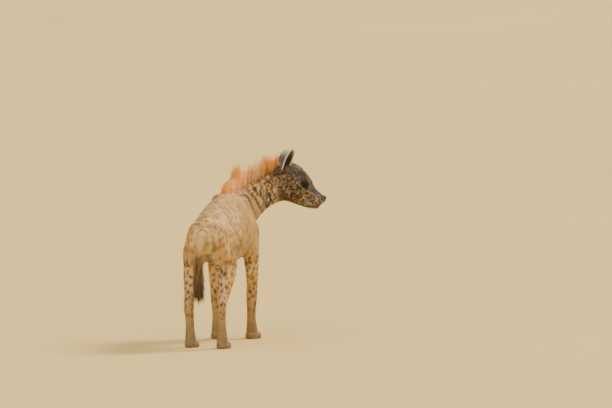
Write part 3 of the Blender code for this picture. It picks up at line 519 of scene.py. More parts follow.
cut_point, cut_facing = HEAD_CUT
neck_stub = beyond(soft_body, cut_point - cut_facing * 0.07, cut_facing)
head_end = beyond(ends, cut_point - cut_facing * 0.07, cut_facing)
head_form = fused("head", [neck_stub, head_end], HEAD_VOXEL, HEAD_SMOOTHING)
low_parts = [beyond(form, Vector((0, 0, 0.16)), Vector((0, 0, -1))) for form in [ends, *limb_forms]
             if min((form.matrix_world @ Vector(c)).z for c in form.bound_box) < 0.1]
paw_form = fused("paws", low_parts, PAW_VOXEL, PAW_SMOOTHING)
head_surface = BVHTree.FromPolygons([v.co for v in head_form.data.vertices],
                                    [p.vertices for p in head_form.data.polygons])

body_shell = arrays(body_form)
body_keep = (from_cut(body_shell[0], HEAD_CUT) < SHELL_OVERLAP) & (body_shell[0][:, 2] > PAW_SHELL_TOP - PAW_OVERLAP)
body_shell = eased(cropped(body_shell, body_keep), TAIL_ROOT, TAIL_ROOT_REACH, 14)
head_shell = arrays(head_form)
head_shell = cropped(head_shell, from_cut(head_shell[0], HEAD_CUT) > -SHELL_OVERLAP)
paw_shell = arrays(paw_form)
paw_shell = cropped(paw_shell, paw_shell[0][:, 2] < PAW_SHELL_TOP)
paw_shell[0][:, 2] = np.maximum(paw_shell[0][:, 2], SOLE_CLEARANCE)
ear_shells = [arrays(ear_form(side, EAR_VOXEL, EAR_SMOOTHING)) for side in (1, -1)]
print("HIDE quads", [len(s[2]) for s in (body_shell, head_shell, paw_shell, *ear_shells)])


def ramp(values, low, high):
    """0 below low, 1 above high and a soft rise between them."""
    t = np.clip((values - low) / (high - low), 0, 1)
    return t * t * (3 - 2 * t)


def unit(vectors):
    return vectors / np.maximum(np.linalg.norm(vectors, axis=1, keepdims=True), 1e-9)


def in_head(points):
    """Points in the head's own frame."""
    return (points - np.array(NOSE_TIP)) @ np.array(head_turn)


def in_ear(points, side):
    """Points in an ear's own frame."""
    back = np.array(ear_place(side).inverted())
    return points @ back[:3, :3].T + back[:3, 3]


NECK_FACE = (Vector((0.200, 0.000, 0.800)), Vector((0.786, 0.0, 0.618)).normalized())
neck_path = np.array(between(list(NECK_STATIONS.values()), 10))[:, :3]
neck_way = unit(np.gradient(neck_path, axis=0))


def along_neck(points):
    """(share of the neck's path, its direction there) at the nearest place to each point."""
    share = np.zeros(len(points))
    for first in range(0, len(points), 20000):
        block = points[first:first + 20000]
        share[first:first + 20000] = np.argmin(((block[:, None, :] - neck_path[None]) ** 2).sum(axis=2), axis=1)
    return share / (len(neck_path) - 1), neck_way[share.astype(int)]


def regions(points):
    """How much each point belongs to the head, the neck, the legs and the tail."""
    x, y, z = points.T
    head = ramp(from_cut(points, HEAD_CUT), -0.025, 0.020) * (z > 0.5)
    neck = ramp(from_cut(points, NECK_FACE), -0.02, 0.06) * ramp(z, 0.50, 0.60) * (1 - head)
    leg = 1 - ramp(z, 0.36, 0.52)
    leg = leg * ((x > 0.12) | (x < -0.2) | (z < 0.3))
    tail = (1 - ramp(x, -0.548, -0.470)) * (z > 0.25)
    return head, neck, leg * (1 - tail), tail


# The eyes stand where the solids' eyes are, and the dark marks on the face keep their distance to them
EYE_RADIUS = 0.0135
eye_places = {}
for side, word in ((1, "left"), (-1, "right")):
    low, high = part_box("eye_" + word)
    eye_places[side] = np.array((Vector(low) + Vector(high)) / 2 - FRAME_SHIFT)

# How deep the skin lies under the tips of the coat: on the face, the crown, neck and body, legs, feet and tail
FACE_COAT, CROWN_COAT, BODY_COAT, LEG_COAT, FOOT_COAT, TAIL_COAT = 0.0014, 0.0036, 0.0062, 0.0038, 0.0020, 0.0040
EYE_BED_RISE, EYE_BED_REACH = 0.0042, 0.019


def coat_depth(points):
    head, neck, leg, tail = regions(points)
    behind = -in_head(points)[:, 0]
    face = FACE_COAT + (CROWN_COAT - FACE_COAT) * ramp(behind, 0.13, 0.27)
    low = FOOT_COAT + (LEG_COAT - FOOT_COAT) * ramp(points[:, 2], 0.06, 0.20)
    depth = BODY_COAT + (face - BODY_COAT) * head
    depth = depth + (low - depth) * leg
    for place in eye_places.values():
        depth = depth - EYE_BED_RISE * np.exp(-((points - place) ** 2).sum(axis=1) / EYE_BED_REACH ** 2)
    return depth + (TAIL_COAT - depth) * tail


# The fold where the bent neck meets the shoulder runs through these two places on the right, seen along VIEW
VIEW = np.array((0.978, 0.208, -0.052))
FOLD_TOP, FOLD_FOOT = np.array((0.2475, -0.036, 0.7945)), np.array((0.2746, -0.1230, 0.643))
FOLD_SPACING = 0.034
fold_across = np.cross(FOLD_FOOT - FOLD_TOP, VIEW)
fold_across = fold_across / np.linalg.norm(fold_across)
if fold_across[1] > 0:
    fold_across = -fold_across


def neck_folds(points):
    """Depth, 0 to 1, of the skin folds on the inner side of the bent neck, which also sets how dark their painted shade
    is.
    """
    head, neck, _, _ = regions(points)
    away = (points - FOLD_TOP) @ fold_across
    wave = 0.006 * np.sin(points[:, 2] * 31 + 1.3) + 0.003 * np.sin(points[:, 2] * 83)
    place = (away + wave) / FOLD_SPACING
    nearest = np.abs(place - np.round(place))
    inner = ramp(-points[:, 1] - 0.35 * (0.5 - points[:, 0]) + 0.065, 0.0, 0.06)
    first = np.round(place) == 0
    strength = np.where(first, 1.0, 0.55) * (place > -0.5) * (place < 4.5)
    on_shoulder = 0.50 * first * ramp(points[:, 0], 0.15, 0.21) * ramp(points[:, 2], 0.60, 0.66)
    strength = strength * np.maximum(ramp(neck + head, 0.05, 0.5), on_shoulder)
    return np.exp(-(nearest * FOLD_SPACING / 0.0065) ** 2) * strength * inner * (1 - head)


def coat_lie(points, normals):
    """The way the hair points at each place: back along head, neck and trunk, and down the legs and tail."""
    head, neck, leg, tail = regions(points)
    x, y, z = points.T
    own = in_head(points)
    _, way = along_neck(points)
    lie = np.zeros_like(points)
    rump = ramp(-x, 0.20, 0.46)
    shoulder = ramp(x, 0.12, 0.26)
    lie[:, 0] = -1 + 0.45 * rump + 0.25 * shoulder
    lie[:, 2] = -0.22 - 0.60 * rump - 0.35 * shoulder
    neck_lie = -way * 1.0 + np.array((0, 0, -0.45))
    lie += (neck_lie - lie) * neck[:, None]
    leg_lie = np.stack((-0.10 - 0 * z, 0 * z, -1 + 0 * z), axis=1)
    lie += (leg_lie - lie) * leg[:, None]
    foot = 1 - ramp(z, 0.05, 0.11)
    foot_lie = np.stack((0.85 + 0 * z, 0 * z, -0.45 + 0 * z), axis=1)
    lie += (foot_lie - lie) * foot[:, None]
    lie += (np.array((0.02, 0, -1.0)) - lie) * tail[:, None]
    cheek = ramp(0.02 - own[:, 2], 0, 0.06) * ramp(-own[:, 0], 0.06, 0.14)
    head_lie = np.stack((-1 + 0 * z, 0.10 * np.sign(own[:, 1]), -0.10 - 0.40 * cheek), axis=1) @ np.array(head_turn).T
    lie += (head_lie - lie) * head[:, None]
    swirl = 0.16 * np.sin(x * 21 + 1.7 * np.sin(y * 17)) * np.sin(z * 24 + y * 13 + 0.6)
    lie = lie + np.cross(normals, unit(lie)) * swirl[:, None]
    return unit(lie - normals * (lie * normals).sum(axis=1)[:, None])


# Spots: (chance seed, spacing, half width, half length, strength) on the neck, body, haunch and leg, and head
NECK_SPOTS = (3, 0.0235, 0.0072, 0.0340, 1.05)
BODY_SPOTS = (5, 0.044, 0.0125, 0.0185, 0.55)
LEG_SPOTS = (8, 0.034, 0.0110, 0.0130, 0.85)
HEAD_SPOTS = (9, 0.0165, 0.0078, 0.0105, 1.15)
FACE_FLECKS = (13, 0.0090, 0.0030, 0.0042, 0.95)
# Shoulder streaks are partly painted shade: rusty, darker streaks for the soft shade of the lying hair as well as its
# tint
SHOULDER_TINT_AND_SHADE = (23, 0.036, 0.0050, 0.036, 1.0)
SPOT_EDGE = 0.26


def scattered(points, normals, sizes, keep, round_axis=None):
    """Spot centres spread over the points that keep allows: (places, long ways, half widths, lengths, strengths).
    The spots run downwards, or round an axis where one is given."""
    seed, spacing, width, length, strength = sizes
    chance = np.random.RandomState(seed)
    order = chance.permutation(np.nonzero(keep)[0])
    centres = np.zeros((0, 3))
    chosen = []
    for index in order[:12000]:
        here = points[index]
        if len(centres) == 0 or ((centres - here) ** 2).sum(axis=1).min() > (spacing * chance.uniform(0.62, 1.35)) ** 2:
            centres = np.vstack((centres, here))
            chosen.append(index)
    chosen = np.array(chosen)
    ways = np.array((0.05, 0.0, -1.0)) - normals[chosen] * (normals[chosen] @ np.array((0.05, 0.0, -1.0)))[:, None]
    if round_axis is not None:
        ways = np.cross(normals[chosen], round_axis)
    ways = unit(ways + 0.25 * chance.normal(0, 1, ways.shape))
    count = len(chosen)
    return (centres, ways, width * chance.uniform(0.55, 1.35, count), length * chance.uniform(0.55, 1.35, count),
            strength * chance.uniform(0.6, 1.0, count))


def spotted(points, spots, where):
    """How dark the spots are at each point, of those that where allows."""
    whole = np.zeros(len(points))
    used = np.nonzero(where > 0.01)[0]
    points = points[used]
    x, y, z = points.T
    bent = points + 0.0022 * np.stack((np.sin(z * 310 + y * 140), np.sin(x * 290 + z * 120), np.sin(y * 270 + x * 160)), axis=1)
    dark = np.zeros(len(points))
    order = np.argsort(bent[:, 0])
    sorted_x = bent[order, 0]
    for centre, way, width, length, strength in zip(*spots):
        first, last = np.searchsorted(sorted_x, (centre[0] - length * 1.5, centre[0] + length * 1.5))
        near = order[first:last]
        near = near[np.abs(bent[near] - centre).max(axis=1) < length * 1.5]
        off = bent[near] - centre
        along = off @ way
        across = np.sqrt(np.maximum((off ** 2).sum(axis=1) - along ** 2, 0))
        far = np.sqrt((along / length) ** 2 + (across / width) ** 2)
        value = strength * (1 - ramp(far, 1 - SPOT_EDGE, 1 + SPOT_EDGE))
        dark[near] = np.maximum(dark[near], value)
    whole[used] = dark
    return whole * where


# Painted shadow ring round the chewing muscle at the angle of the jaw: its centre in x and z of the head's frame, and
# its radius
JAW_SHADOW_RING = (-0.163, -0.071, 0.019)
MARKS = ("spot", "grey", "ochre", "rust", "slate", "pale", "dark")
INSIDE_EAR = 0.0


def markings(points, normals, ear=0):
    """Each mark of the coat, 0 to 1: what the colours are mixed by. ear is +1 or -1 on an ear, and 0 elsewhere."""
    x, y, z = points.T
    marks = {name: np.zeros(len(points)) for name in MARKS}
    if ear:
        own = in_ear(points, ear)
        turned = normals @ np.array(ear_place(ear).to_3x3())
        share = own[:, 2] / EAR_HEIGHT
        inner = ramp(turned[:, 0] - 0.8 * np.sign(own[:, 1]) * turned[:, 1], -0.1, 0.5)
        rim = np.maximum(ramp(own[:, 0], -0.0095, -0.0030), ramp(share, 0.92, 0.98)) * ramp(share, 0.12, 0.34)
        marks["slate"] = 0.90 - 0.25 * ramp(share, 0.55, 0.95)
        marks["dark"] = 0.75 * inner * (1 - rim) * (1 - 0.5 * ramp(share, 0.6, 0.9))
        marks["pale"] = np.clip(rim + 0.70 * ramp(share, 0.58, 0.90) * (1 - inner), 0, 1)
        marks["ochre"] = 0.25 * (1 - ramp(share, 0.0, 0.2))
        return marks
    head, neck, leg, tail = regions(points)
    own = in_head(points)
    behind, aside, high = -own[:, 0], np.abs(own[:, 1]), own[:, 2]
    brow_line = -0.034 + 0.26 * np.clip(behind - 0.09, 0, 0.13)
    grey = 0.42 + 0.58 * ramp(high, brow_line, brow_line + 0.045)
    nape = ramp(behind, 0.24, 0.30)
    marks["grey"] = head * grey * (1 - nape)
    marks["ochre"] = np.maximum(head * (1.15 - grey) * (1 - 0.7 * nape), 0.12 * neck * ramp(0.62 - z, -0.1, 0.05))
    marks["ochre"] = np.maximum(marks["ochre"], 0.45 * leg * (1 - ramp(z, 0.10, 0.40)))
    crown = np.exp(-((behind - 0.185) / 0.05) ** 2 - ((high - 0.070) / 0.030) ** 2)
    bridge = (1 - ramp(behind, 0.075, 0.115)) * ramp(high, -0.016, 0.004)
    tip = 1 - ramp(behind, 0.010, 0.032)
    # Painted shadow: a dark ring round the bulge of the chewing muscle at the angle of the jaw
    ring = np.exp(-((np.hypot(own[:, 0] - JAW_SHADOW_RING[0], high - JAW_SHADOW_RING[1]) - JAW_SHADOW_RING[2]) / 0.0075) ** 2)
    turn = np.arctan2(high - JAW_SHADOW_RING[1], own[:, 0] - JAW_SHADOW_RING[0])
    ring = ring * ramp(aside, 0.03, 0.05) * (0.45 + 0.55 * np.sin(1.5 * turn + 0.4) ** 2)
    cheek = ramp(behind, 0.09, 0.16) * (1 - ramp(behind, 0.25, 0.29)) * ramp(0.035 - high, 0.0, 0.04)
    dark = 0.50 * crown + 0.60 * bridge + 0.60 * tip * ramp(high, -0.04, -0.02) + 0.65 * ring + 0.22 * cheek
    for side, place in eye_places.items():
        off = own - in_head(place[None])[0]
        reach = np.sqrt((off[:, 0] / 1.15) ** 2 + (off[:, 1] / 1.2) ** 2 + (off[:, 2] * 1.15) ** 2)
        tear = np.exp(-((off[:, 0] - 0.023) / 0.013) ** 2 - ((off[:, 2] + 0.013) / 0.008) ** 2) * (off[:, 1] * side > -0.02)
        dark = np.maximum(dark, 1.0 * (1 - ramp(reach, 0.0205, 0.0305)) + 0.60 * tear)
    midline = np.exp(-(aside / 0.016) ** 2) * ramp(behind, 0.10, 0.14) * ramp(high, 0.02, 0.05)
    # Painted shade: the hollow behind the ear's root, where head and neck meet, is darkened with slate and dark
    shade_behind_ear = np.exp(-((behind - 0.296) / 0.023) ** 2 - ((high - 0.036) / 0.046) ** 2) * ramp(aside, 0.02, 0.04)
    marks["slate"] = np.clip(0.85 * shade_behind_ear * (head + neck), 0, 1)
    marks["rust"] = np.clip(head * 0.50 * midline, 0, 1)
    chest = ramp(x, 0.275, 0.355) * ramp(0.72 - z, 0, 0.08) * ramp(z, 0.38, 0.58) * (1 - head)
    marks["rust"] = np.maximum(marks["rust"], 0.50 * chest)
    crest = ramp(normals[:, 2], 0.75, 0.97) * np.maximum(neck, nape * head)
    marks["rust"] = np.maximum(marks["rust"], np.maximum(0.75 * crest, 0.32 * neck * ramp(normals[:, 2], 0.0, 0.6)))
    low_leg = 1 - ramp(z, 0.02, 0.30)
    brush = (1 - ramp(z, 0.43, 0.54)) * tail
    marks["dark"] = np.clip(np.maximum(np.maximum(head * dark, 0.45 * shade_behind_ear * (head + neck)),
                                       np.maximum(0.55 * low_leg, 0.95 * brush)), 0, 1)
    # Painted shade in the grooves between the toes
    marks["dark"] = np.maximum(marks["dark"], 0.85 * toe_grooves(points))
    belly = ramp(-normals[:, 2], 0.1, 0.8) * (1 - neck) * (1 - head) * ramp(z, 0.30, 0.36)
    inner_leg = leg * ramp(-normals[:, 1] * np.sign(y), 0.2, 0.9) * ramp(z, 0.20, 0.34)
    chin = head * (1 - ramp(behind, 0.08, 0.15)) * ramp(-high, 0.015, 0.050)
    marks["pale"] = np.clip(0.55 * belly + 0.5 * inner_leg + 0.35 * chin + neck * (0.12 + 0.60 * ramp(-normals[:, 2], -0.3, 0.4)), 0, 1)
    spot = spotted(points, neck_spots, np.clip(neck + 0.9 * head * nape, 0, 1) * (1 - 0.6 * crest)
                   * (1 - 0.10 * ramp(normals[:, 2], 0.2, 0.8)))
    spot = np.maximum(spot, spotted(points, body_spots, (1 - neck) * (1 - head) * (1 - ramp(leg, 0.5, 1.0))
                                     * (1 - 0.45 * ramp(x, -0.02, 0.15))))
    spot = np.maximum(spot, spotted(points, leg_spots, ramp(leg, 0.1, 0.6) * (1 - 0.6 * low_leg)))
    spot = np.maximum(spot, spotted(points, head_spots, head * (1 - 0.35 * grey)))
    spot = np.maximum(spot, spotted(points, face_flecks, head * (1 - 0.5 * grey)))
    # Painted shade: the creases of the neck's folds are darkened with spot and dark colour, besides being cut into the
    # hide
    fold_shade = neck_folds(points)
    marks["spot"] = np.maximum(spot * (1 - 0.8 * tail), 0.95 * fold_shade)
    marks["dark"] = np.maximum(marks["dark"], 0.95 * fold_shade ** 2)
    # Partly painted shade: rusty streaks across the shoulder for the soft shade of the lying hair and for its tint
    tint_and_shade = spotted(points, shoulder_tint_and_shade, (1 - neck) * (1 - head) * (1 - leg) * ramp(x, -0.20, 0.05))
    marks["rust"] = np.maximum(marks["rust"], 0.70 * tint_and_shade)
    marks["spot"] = np.maximum(marks["spot"], 0.26 * tint_and_shade)
    return marks


NOSE_CENTRE, NOSE_RADII, NOSE_BED = (0.0005, 0.0, -0.0085), (0.0180, 0.0275, 0.0170), 0.0090


def toe_grooves(points):
    """The grooves between the toes, 0 to 1: how deep they are cut into the paws and how dark their painted shade is."""
    groove = np.zeros(len(points))
    for x, y, scale in paw_places():
        ahead = ramp(points[:, 0], x + 0.004, x + 0.030) * (np.abs(points[:, 0] - x) < 0.08) * (points[:, 2] < 0.05)
        for k in (-1, 0, 1):
            line = np.exp(-((points[:, 1] - y - k * 0.0200 * scale) / 0.0030) ** 2)
            groove = np.maximum(groove, line * ahead * (1 - ramp(points[:, 2], 0.026, 0.042)))
    return groove


def inset(shell, depths):
    points, normals, quads = shell
    return points - normals * depths[:, None], normals, quads


def hide_depths(shell):
    """The coat's depth, less at the soles, more where a shell's rim tucks under its neighbour and in the folds."""
    points, normals, _ = shell
    depth = coat_depth(points) + 0.0060 * neck_folds(points)
    sole = ramp(-normals[:, 2], 0.3, 0.8) * (1 - ramp(points[:, 2], 0.010, 0.022))
    reach = (((in_head(points) - np.array(NOSE_CENTRE)) / np.array(NOSE_RADII)) ** 2).sum(axis=1)
    return depth * (1 - sole) + NOSE_BED * (1 - ramp(reach, 0.60, 0.92))


tuck, TOE_GROOVE = 0.0015, 0.0045
body_depths = hide_depths(body_shell)
body_depths += tuck * ramp(from_cut(body_shell[0], HEAD_CUT), 0.001, SHELL_OVERLAP)
head_depths = hide_depths(head_shell) + tuck * ramp(-from_cut(head_shell[0], HEAD_CUT), 0.001, SHELL_OVERLAP)
body_depths += PAW_TUCK * ramp(PAW_SHELL_TOP - body_shell[0][:, 2], 0.0, PAW_OVERLAP)
paw_depths = hide_depths(paw_shell) + TOE_GROOVE * toe_grooves(paw_shell[0])
paw_depths += PAW_TUCK * ramp(paw_shell[0][:, 2], PAW_SHELL_TOP - PAW_OVERLAP, PAW_SHELL_TOP)
body_skin = inset(body_shell, body_depths)
head_skin = inset(head_shell, head_depths)
paw_skin = inset(paw_shell, paw_depths)

surface_points = np.vstack((body_shell[0], head_shell[0]))
surface_normals = np.vstack((body_shell[1], head_shell[1]))
on_head, on_neck, on_leg, on_tail = regions(surface_points)
neck_spots = scattered(surface_points, surface_normals, NECK_SPOTS, on_neck + on_head * ramp(-in_head(surface_points)[:, 0], 0.22, 0.26) > 0.3)
body_spots = scattered(surface_points, surface_normals, BODY_SPOTS, on_neck + on_head + on_leg + on_tail < 0.8,
                       (1.0, 0.0, 0.0))
shoulder_tint_and_shade = scattered(surface_points, surface_normals, SHOULDER_TINT_AND_SHADE,
                             (on_neck + on_head + on_leg < 0.8) & (surface_points[:, 0] > -0.20), (1.0, 0.0, 0.0))
leg_spots = scattered(surface_points, surface_normals, LEG_SPOTS, (on_leg > 0.3) & (surface_points[:, 2] > 0.15))
head_spots = scattered(surface_points, surface_normals, HEAD_SPOTS, (on_head > 0.6) & (from_cut(surface_points, HEAD_CUT) > 0))
face_flecks = scattered(surface_points, surface_normals, FACE_FLECKS, (on_head > 0.6) & (from_cut(surface_points, HEAD_CUT) > 0))
print("SPOTS", [len(s[0]) for s in (neck_spots, body_spots, leg_spots, head_spots)])


def joined_mesh(name, shells):
    """One mesh of several shells of quads or triangles, each (points, faces)."""
    points = np.vstack([shell[0] for shell in shells])
    starts = np.cumsum([0] + [len(shell[0]) for shell in shells])
    corners = [np.asarray(faces) + start for (_, faces), start in zip(shells, starts)]
    sizes = np.concatenate([np.full(len(faces), faces.shape[1]) for faces in corners])
    flat = np.concatenate([faces.ravel() for faces in corners])
    mesh = bpy.data.meshes.new(name)
    mesh.vertices.add(len(points))
    mesh.vertices.foreach_set("co", (points + np.array(FRAME_SHIFT)).ravel())
    mesh.loops.add(len(flat))
    mesh.polygons.add(len(sizes))
    mesh.polygons.foreach_set("loop_start", np.concatenate(([0], np.cumsum(sizes)[:-1])))
    mesh.loops.foreach_set("vertex_index", flat)
    mesh.update(calc_edges=True)
    mesh.validate()
    mesh.shade_smooth()
    return mesh


def marked(mesh, marks, roots, tips):
    """Stores the marks, where each hair is rooted and how near its tip each point is."""
    for name in MARKS:
        mesh.attributes.new(name, "FLOAT", "POINT").data.foreach_set("value", marks[name].astype(np.float32))
    mesh.attributes.new("tip", "FLOAT", "POINT").data.foreach_set("value", tips.astype(np.float32))
    mesh.attributes.new("root", "FLOAT_VECTOR", "POINT").data.foreach_set("vector", roots.astype(np.float32).ravel())


def piece(name, mesh, material):
    obj = bpy.data.objects.new(name, mesh)
    bpy.context.scene.collection.objects.link(obj)
    mesh.materials.append(material)
    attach(obj, "root")
    return obj


def linear(code):
    """An sRGB colour written as a hex code, as linear light."""
    parts = [int(code[k:k + 2], 16) / 255 for k in (1, 3, 5)]
    return (*[c / 12.92 if c <= 0.04045 else ((c + 0.055) / 1.055) ** 2.4 for c in parts], 1.0)


def add(tree, kind, links=None, **settings):
    """A node with its settings, and its inputs by name or number set or linked."""
    made = tree.nodes.new(kind)
    for key, value in settings.items():
        setattr(made, key, value)
    for key, value in (links or {}).items():
        if isinstance(value, bpy.types.NodeSocket):
            tree.links.new(value, made.inputs[key])
        else:
            made.inputs[key].default_value = value
    return made


def mixed(tree, share, first, second, way="MIX"):
    """Node 6 and 7 of the colour mix are its two colours, and its third output the result."""
    mix = add(tree, "ShaderNodeMix", {0: share, 6: first, 7: second}, data_type="RGBA", blend_type=way)
    return mix.outputs[2]


def scaled(tree, value, factor, extra=0.0):
    return add(tree, "ShaderNodeMath", {0: value, 1: factor, 2: extra}, operation="MULTIPLY_ADD").outputs[0]


# Colours of the coat: two of sand, then one for each mark
SAND, DEEP_SAND = "#F3CE8A", "#DDA864"
MARK_COLOURS = {
    "ochre": ("#D8C29B", "#8C7B63"),
    "grey": ("#978A7D", "#5C524B"),
    "rust": ("#FFA60E", "#C66C02"),
    "slate": ("#5E5D6A", "#333340"),
    "pale": ("#F4EFE8", "#DCD0C4"),
    "spot": ("#452A19", "#24150C"),
    "dark": ("#1C1716", "#0E0B0A"),
}


def coat_colour(tree, patch, hair, tip_light):
    """The coat's colour from its marks, broken up in patches of one size and from hair to hair of another."""
    root = add(tree, "ShaderNodeAttribute", attribute_name="root").outputs["Vector"]
    clouds = add(tree, "ShaderNodeTexNoise", {"Vector": root, "Scale": 1 / patch, "Detail": 3.0}).outputs["Fac"]
    grain = add(tree, "ShaderNodeTexNoise", {"Vector": root, "Scale": 1 / hair, "Detail": 2.0}).outputs["Fac"]
    clouds = add(tree, "ShaderNodeMapRange", {"Value": clouds, "From Min": 0.35, "From Max": 0.65}).outputs[0]
    grain = add(tree, "ShaderNodeMapRange", {"Value": grain, "From Min": 0.30, "From Max": 0.70}).outputs[0]
    colour = mixed(tree, clouds, linear(SAND), linear(DEEP_SAND))
    for name, (light, deep) in MARK_COLOURS.items():
        share = add(tree, "ShaderNodeAttribute", attribute_name=name).outputs["Fac"]
        broken = scaled(tree, grain, 0.30, -0.15)
        inside = add(tree, "ShaderNodeMath", {0: share, 1: 0.5}, operation="PINGPONG").outputs[0]
        share = add(tree, "ShaderNodeMath", {0: broken, 1: scaled(tree, inside, 2.0), 2: share},
                    operation="MULTIPLY_ADD", use_clamp=True).outputs[0]
        colour = mixed(tree, share, colour, mixed(tree, grain, linear(light), linear(deep)))
    tip = add(tree, "ShaderNodeAttribute", attribute_name="tip").outputs["Fac"]
    light = scaled(tree, tip, tip_light, 1 - tip_light * 0.6)
    light = add(tree, "ShaderNodeMath", {0: grain, 1: 0.24, 2: -0.12}, operation="MULTIPLY_ADD").outputs[0] if False else light
    shade = add(tree, "ShaderNodeCombineColor", {0: light, 1: light, 2: light}).outputs[0]
    return mixed(tree, 1.0, colour, shade, "MULTIPLY"), grain


def hair_material(name, patch, hair, tip_light, roughness, sheen, bump):
    """Keratin hair: a soft, dry surface, lighter to the tips, with a faint gloss along the coat."""
    material = bpy.data.materials.new(name)
    material.use_nodes = True
    tree = material.node_tree
    shader = tree.nodes["Principled BSDF"]
    colour, grain = coat_colour(tree, patch, hair, tip_light)
    tree.links.new(colour, shader.inputs["Base Color"])
    tree.links.new(scaled(tree, grain, 0.16, roughness - 0.08), shader.inputs["Roughness"])
    place = add(tree, "ShaderNodeTexCoord").outputs["Object"]
    strands = add(tree, "ShaderNodeTexNoise", {"Vector": place, "Scale": 1 / 0.0016, "Detail": 2.0}).outputs["Fac"]
    relief = add(tree, "ShaderNodeBump", {"Strength": bump, "Distance": 0.001, "Height": strands})
    tree.links.new(relief.outputs[0], shader.inputs["Normal"])
    shader.inputs["IOR"].default_value = 1.55
    shader.inputs["Specular IOR Level"].default_value = 0.28
    shader.inputs["Sheen Weight"].default_value = sheen
    shader.inputs["Sheen Roughness"].default_value = 0.45
    return material


# Tanned hide with its underfur, which gives the eye a matt felt between the tufts
hide_underfur = hair_material("hide_underfur", 0.055, 0.0045, 0.0, 0.88, 0.10, 0.8)
ear_points = [shell[0] for shell in ear_shells]
shells = [(skin[0], skin[2]) for skin in (body_skin, head_skin, paw_skin, *ear_shells)]
hide_marks = [markings(shell[0], shell[1]) for shell in (body_shell, head_shell, paw_shell)]
hide_marks += [markings(shell[0], shell[1], side) for side, shell in zip((1, -1), ear_shells)]
marks = {name: np.concatenate([part[name] for part in hide_marks]) for name in MARKS}
hide_points = np.vstack([shell[0] for shell in shells])
hide_mesh = joined_mesh("hide", shells)
marked(hide_mesh, marks, hide_points, np.full(len(hide_points), 0.35))
hide = piece("hide", hide_mesh, hide_underfur)
FLESH = ("torso", "neck", "head", "ear_left", "ear_right", "foreleg_left", "foreleg_right", "hindleg_left",
         "hindleg_right", "forepaw_left", "forepaw_right", "hindpaw_left", "hindpaw_right", "tail")
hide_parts(*FLESH)

for obj in list(workshop.objects):
    bpy.data.objects.remove(obj)
bpy.data.collections.remove(workshop)


# EYES AND LIDS
# Glass eyes with a dark brown iris, a black pupil and a clear, slightly raised cornea, set in the head form.
# The lids are thin rolls of bare dark skin, the upper one heavier, drawn over the glass and let into the hide.
CORNEA_RISE = 0.0007
EYE_LOOKS = (0.50, 0.86, 0.06)
EYE_SUNK = 0.0006
PUPIL, IRIS = 0.34, 0.72
LID_HALF_LENGTH, LID_ABOVE, LID_BELOW = 0.0124, 0.0072, 0.0074
head_skin_surface = BVHTree.FromPolygons(head_skin[0].tolist(), head_skin[2].tolist())


def eye_frame(side):
    """(centre, the way the eye looks, the way to its front corner, up)."""
    looks = head_turn @ Vector((EYE_LOOKS[0], side * EYE_LOOKS[1], EYE_LOOKS[2])).normalized()
    ahead = head_turn @ Vector((1, 0, -0.28))
    ahead = (ahead - looks * ahead.dot(looks)).normalized()
    up = looks.cross(ahead)
    return Vector(eye_places[side]) - looks * EYE_SUNK, looks, ahead, up if up.z > 0 else -up


def rings_mesh(rings, close_first=False, close_last=False):
    """(points, faces) of a skin through rings of equal length."""
    count, sides = len(rings), len(rings[0])
    points = np.array([tuple(p) for ring in rings for p in ring])
    faces = []
    for r in range(count - 1):
        for k in range(sides):
            a, b = r * sides + k, r * sides + (k + 1) % sides
            faces.append((a, b, b + sides, a + sides))
    for ring, wanted in ((0, close_first), (count - 1, close_last)):
        if wanted:
            points = np.vstack((points, points[ring * sides:(ring + 1) * sides].mean(axis=0)))
            middle = len(points) - 1
            for k in range(sides):
                a, b = ring * sides + k, ring * sides + (k + 1) % sides
                faces.append((b, a, middle, middle) if ring == 0 else (a, b, middle, middle))
    return points, faces


def solid_mesh(name, parts):
    """One mesh with its faces pointing out, from several (points, faces)."""
    bm = bmesh.new()
    for points, faces in parts:
        verts = [bm.verts.new(Vector(p) + FRAME_SHIFT) for p in points]
        for face in faces:
            corners = list(dict.fromkeys(face))
            bm.faces.new([verts[k] for k in corners])
    bmesh.ops.recalc_face_normals(bm, faces=bm.faces)
    mesh = bpy.data.meshes.new(name)
    bm.to_mesh(mesh)
    bm.free()
    mesh.shade_smooth()
    return mesh


def eyeball(side):
    centre, looks, ahead, up = eye_frame(side)
    rings, away = [], []
    for level in range(1, 34):
        angle = math.pi * level / 34
        rise = CORNEA_RISE * max(0.0, 1 - (angle / 0.75) ** 2) ** 2
        ring = []
        for k in range(40):
            turn = 2 * math.pi * k / 40
            way = looks * math.cos(angle) + (ahead * math.cos(turn) + up * math.sin(turn)) * math.sin(angle)
            ring.append(centre + way * (EYE_RADIUS + rise))
        rings.append(ring)
        away += [angle] * 40
    points, faces = rings_mesh(rings, True, True)
    points[-2] = centre + looks * (EYE_RADIUS + CORNEA_RISE)
    points[-1] = centre - looks * EYE_RADIUS
    return points, faces, away + [0.0, math.pi]


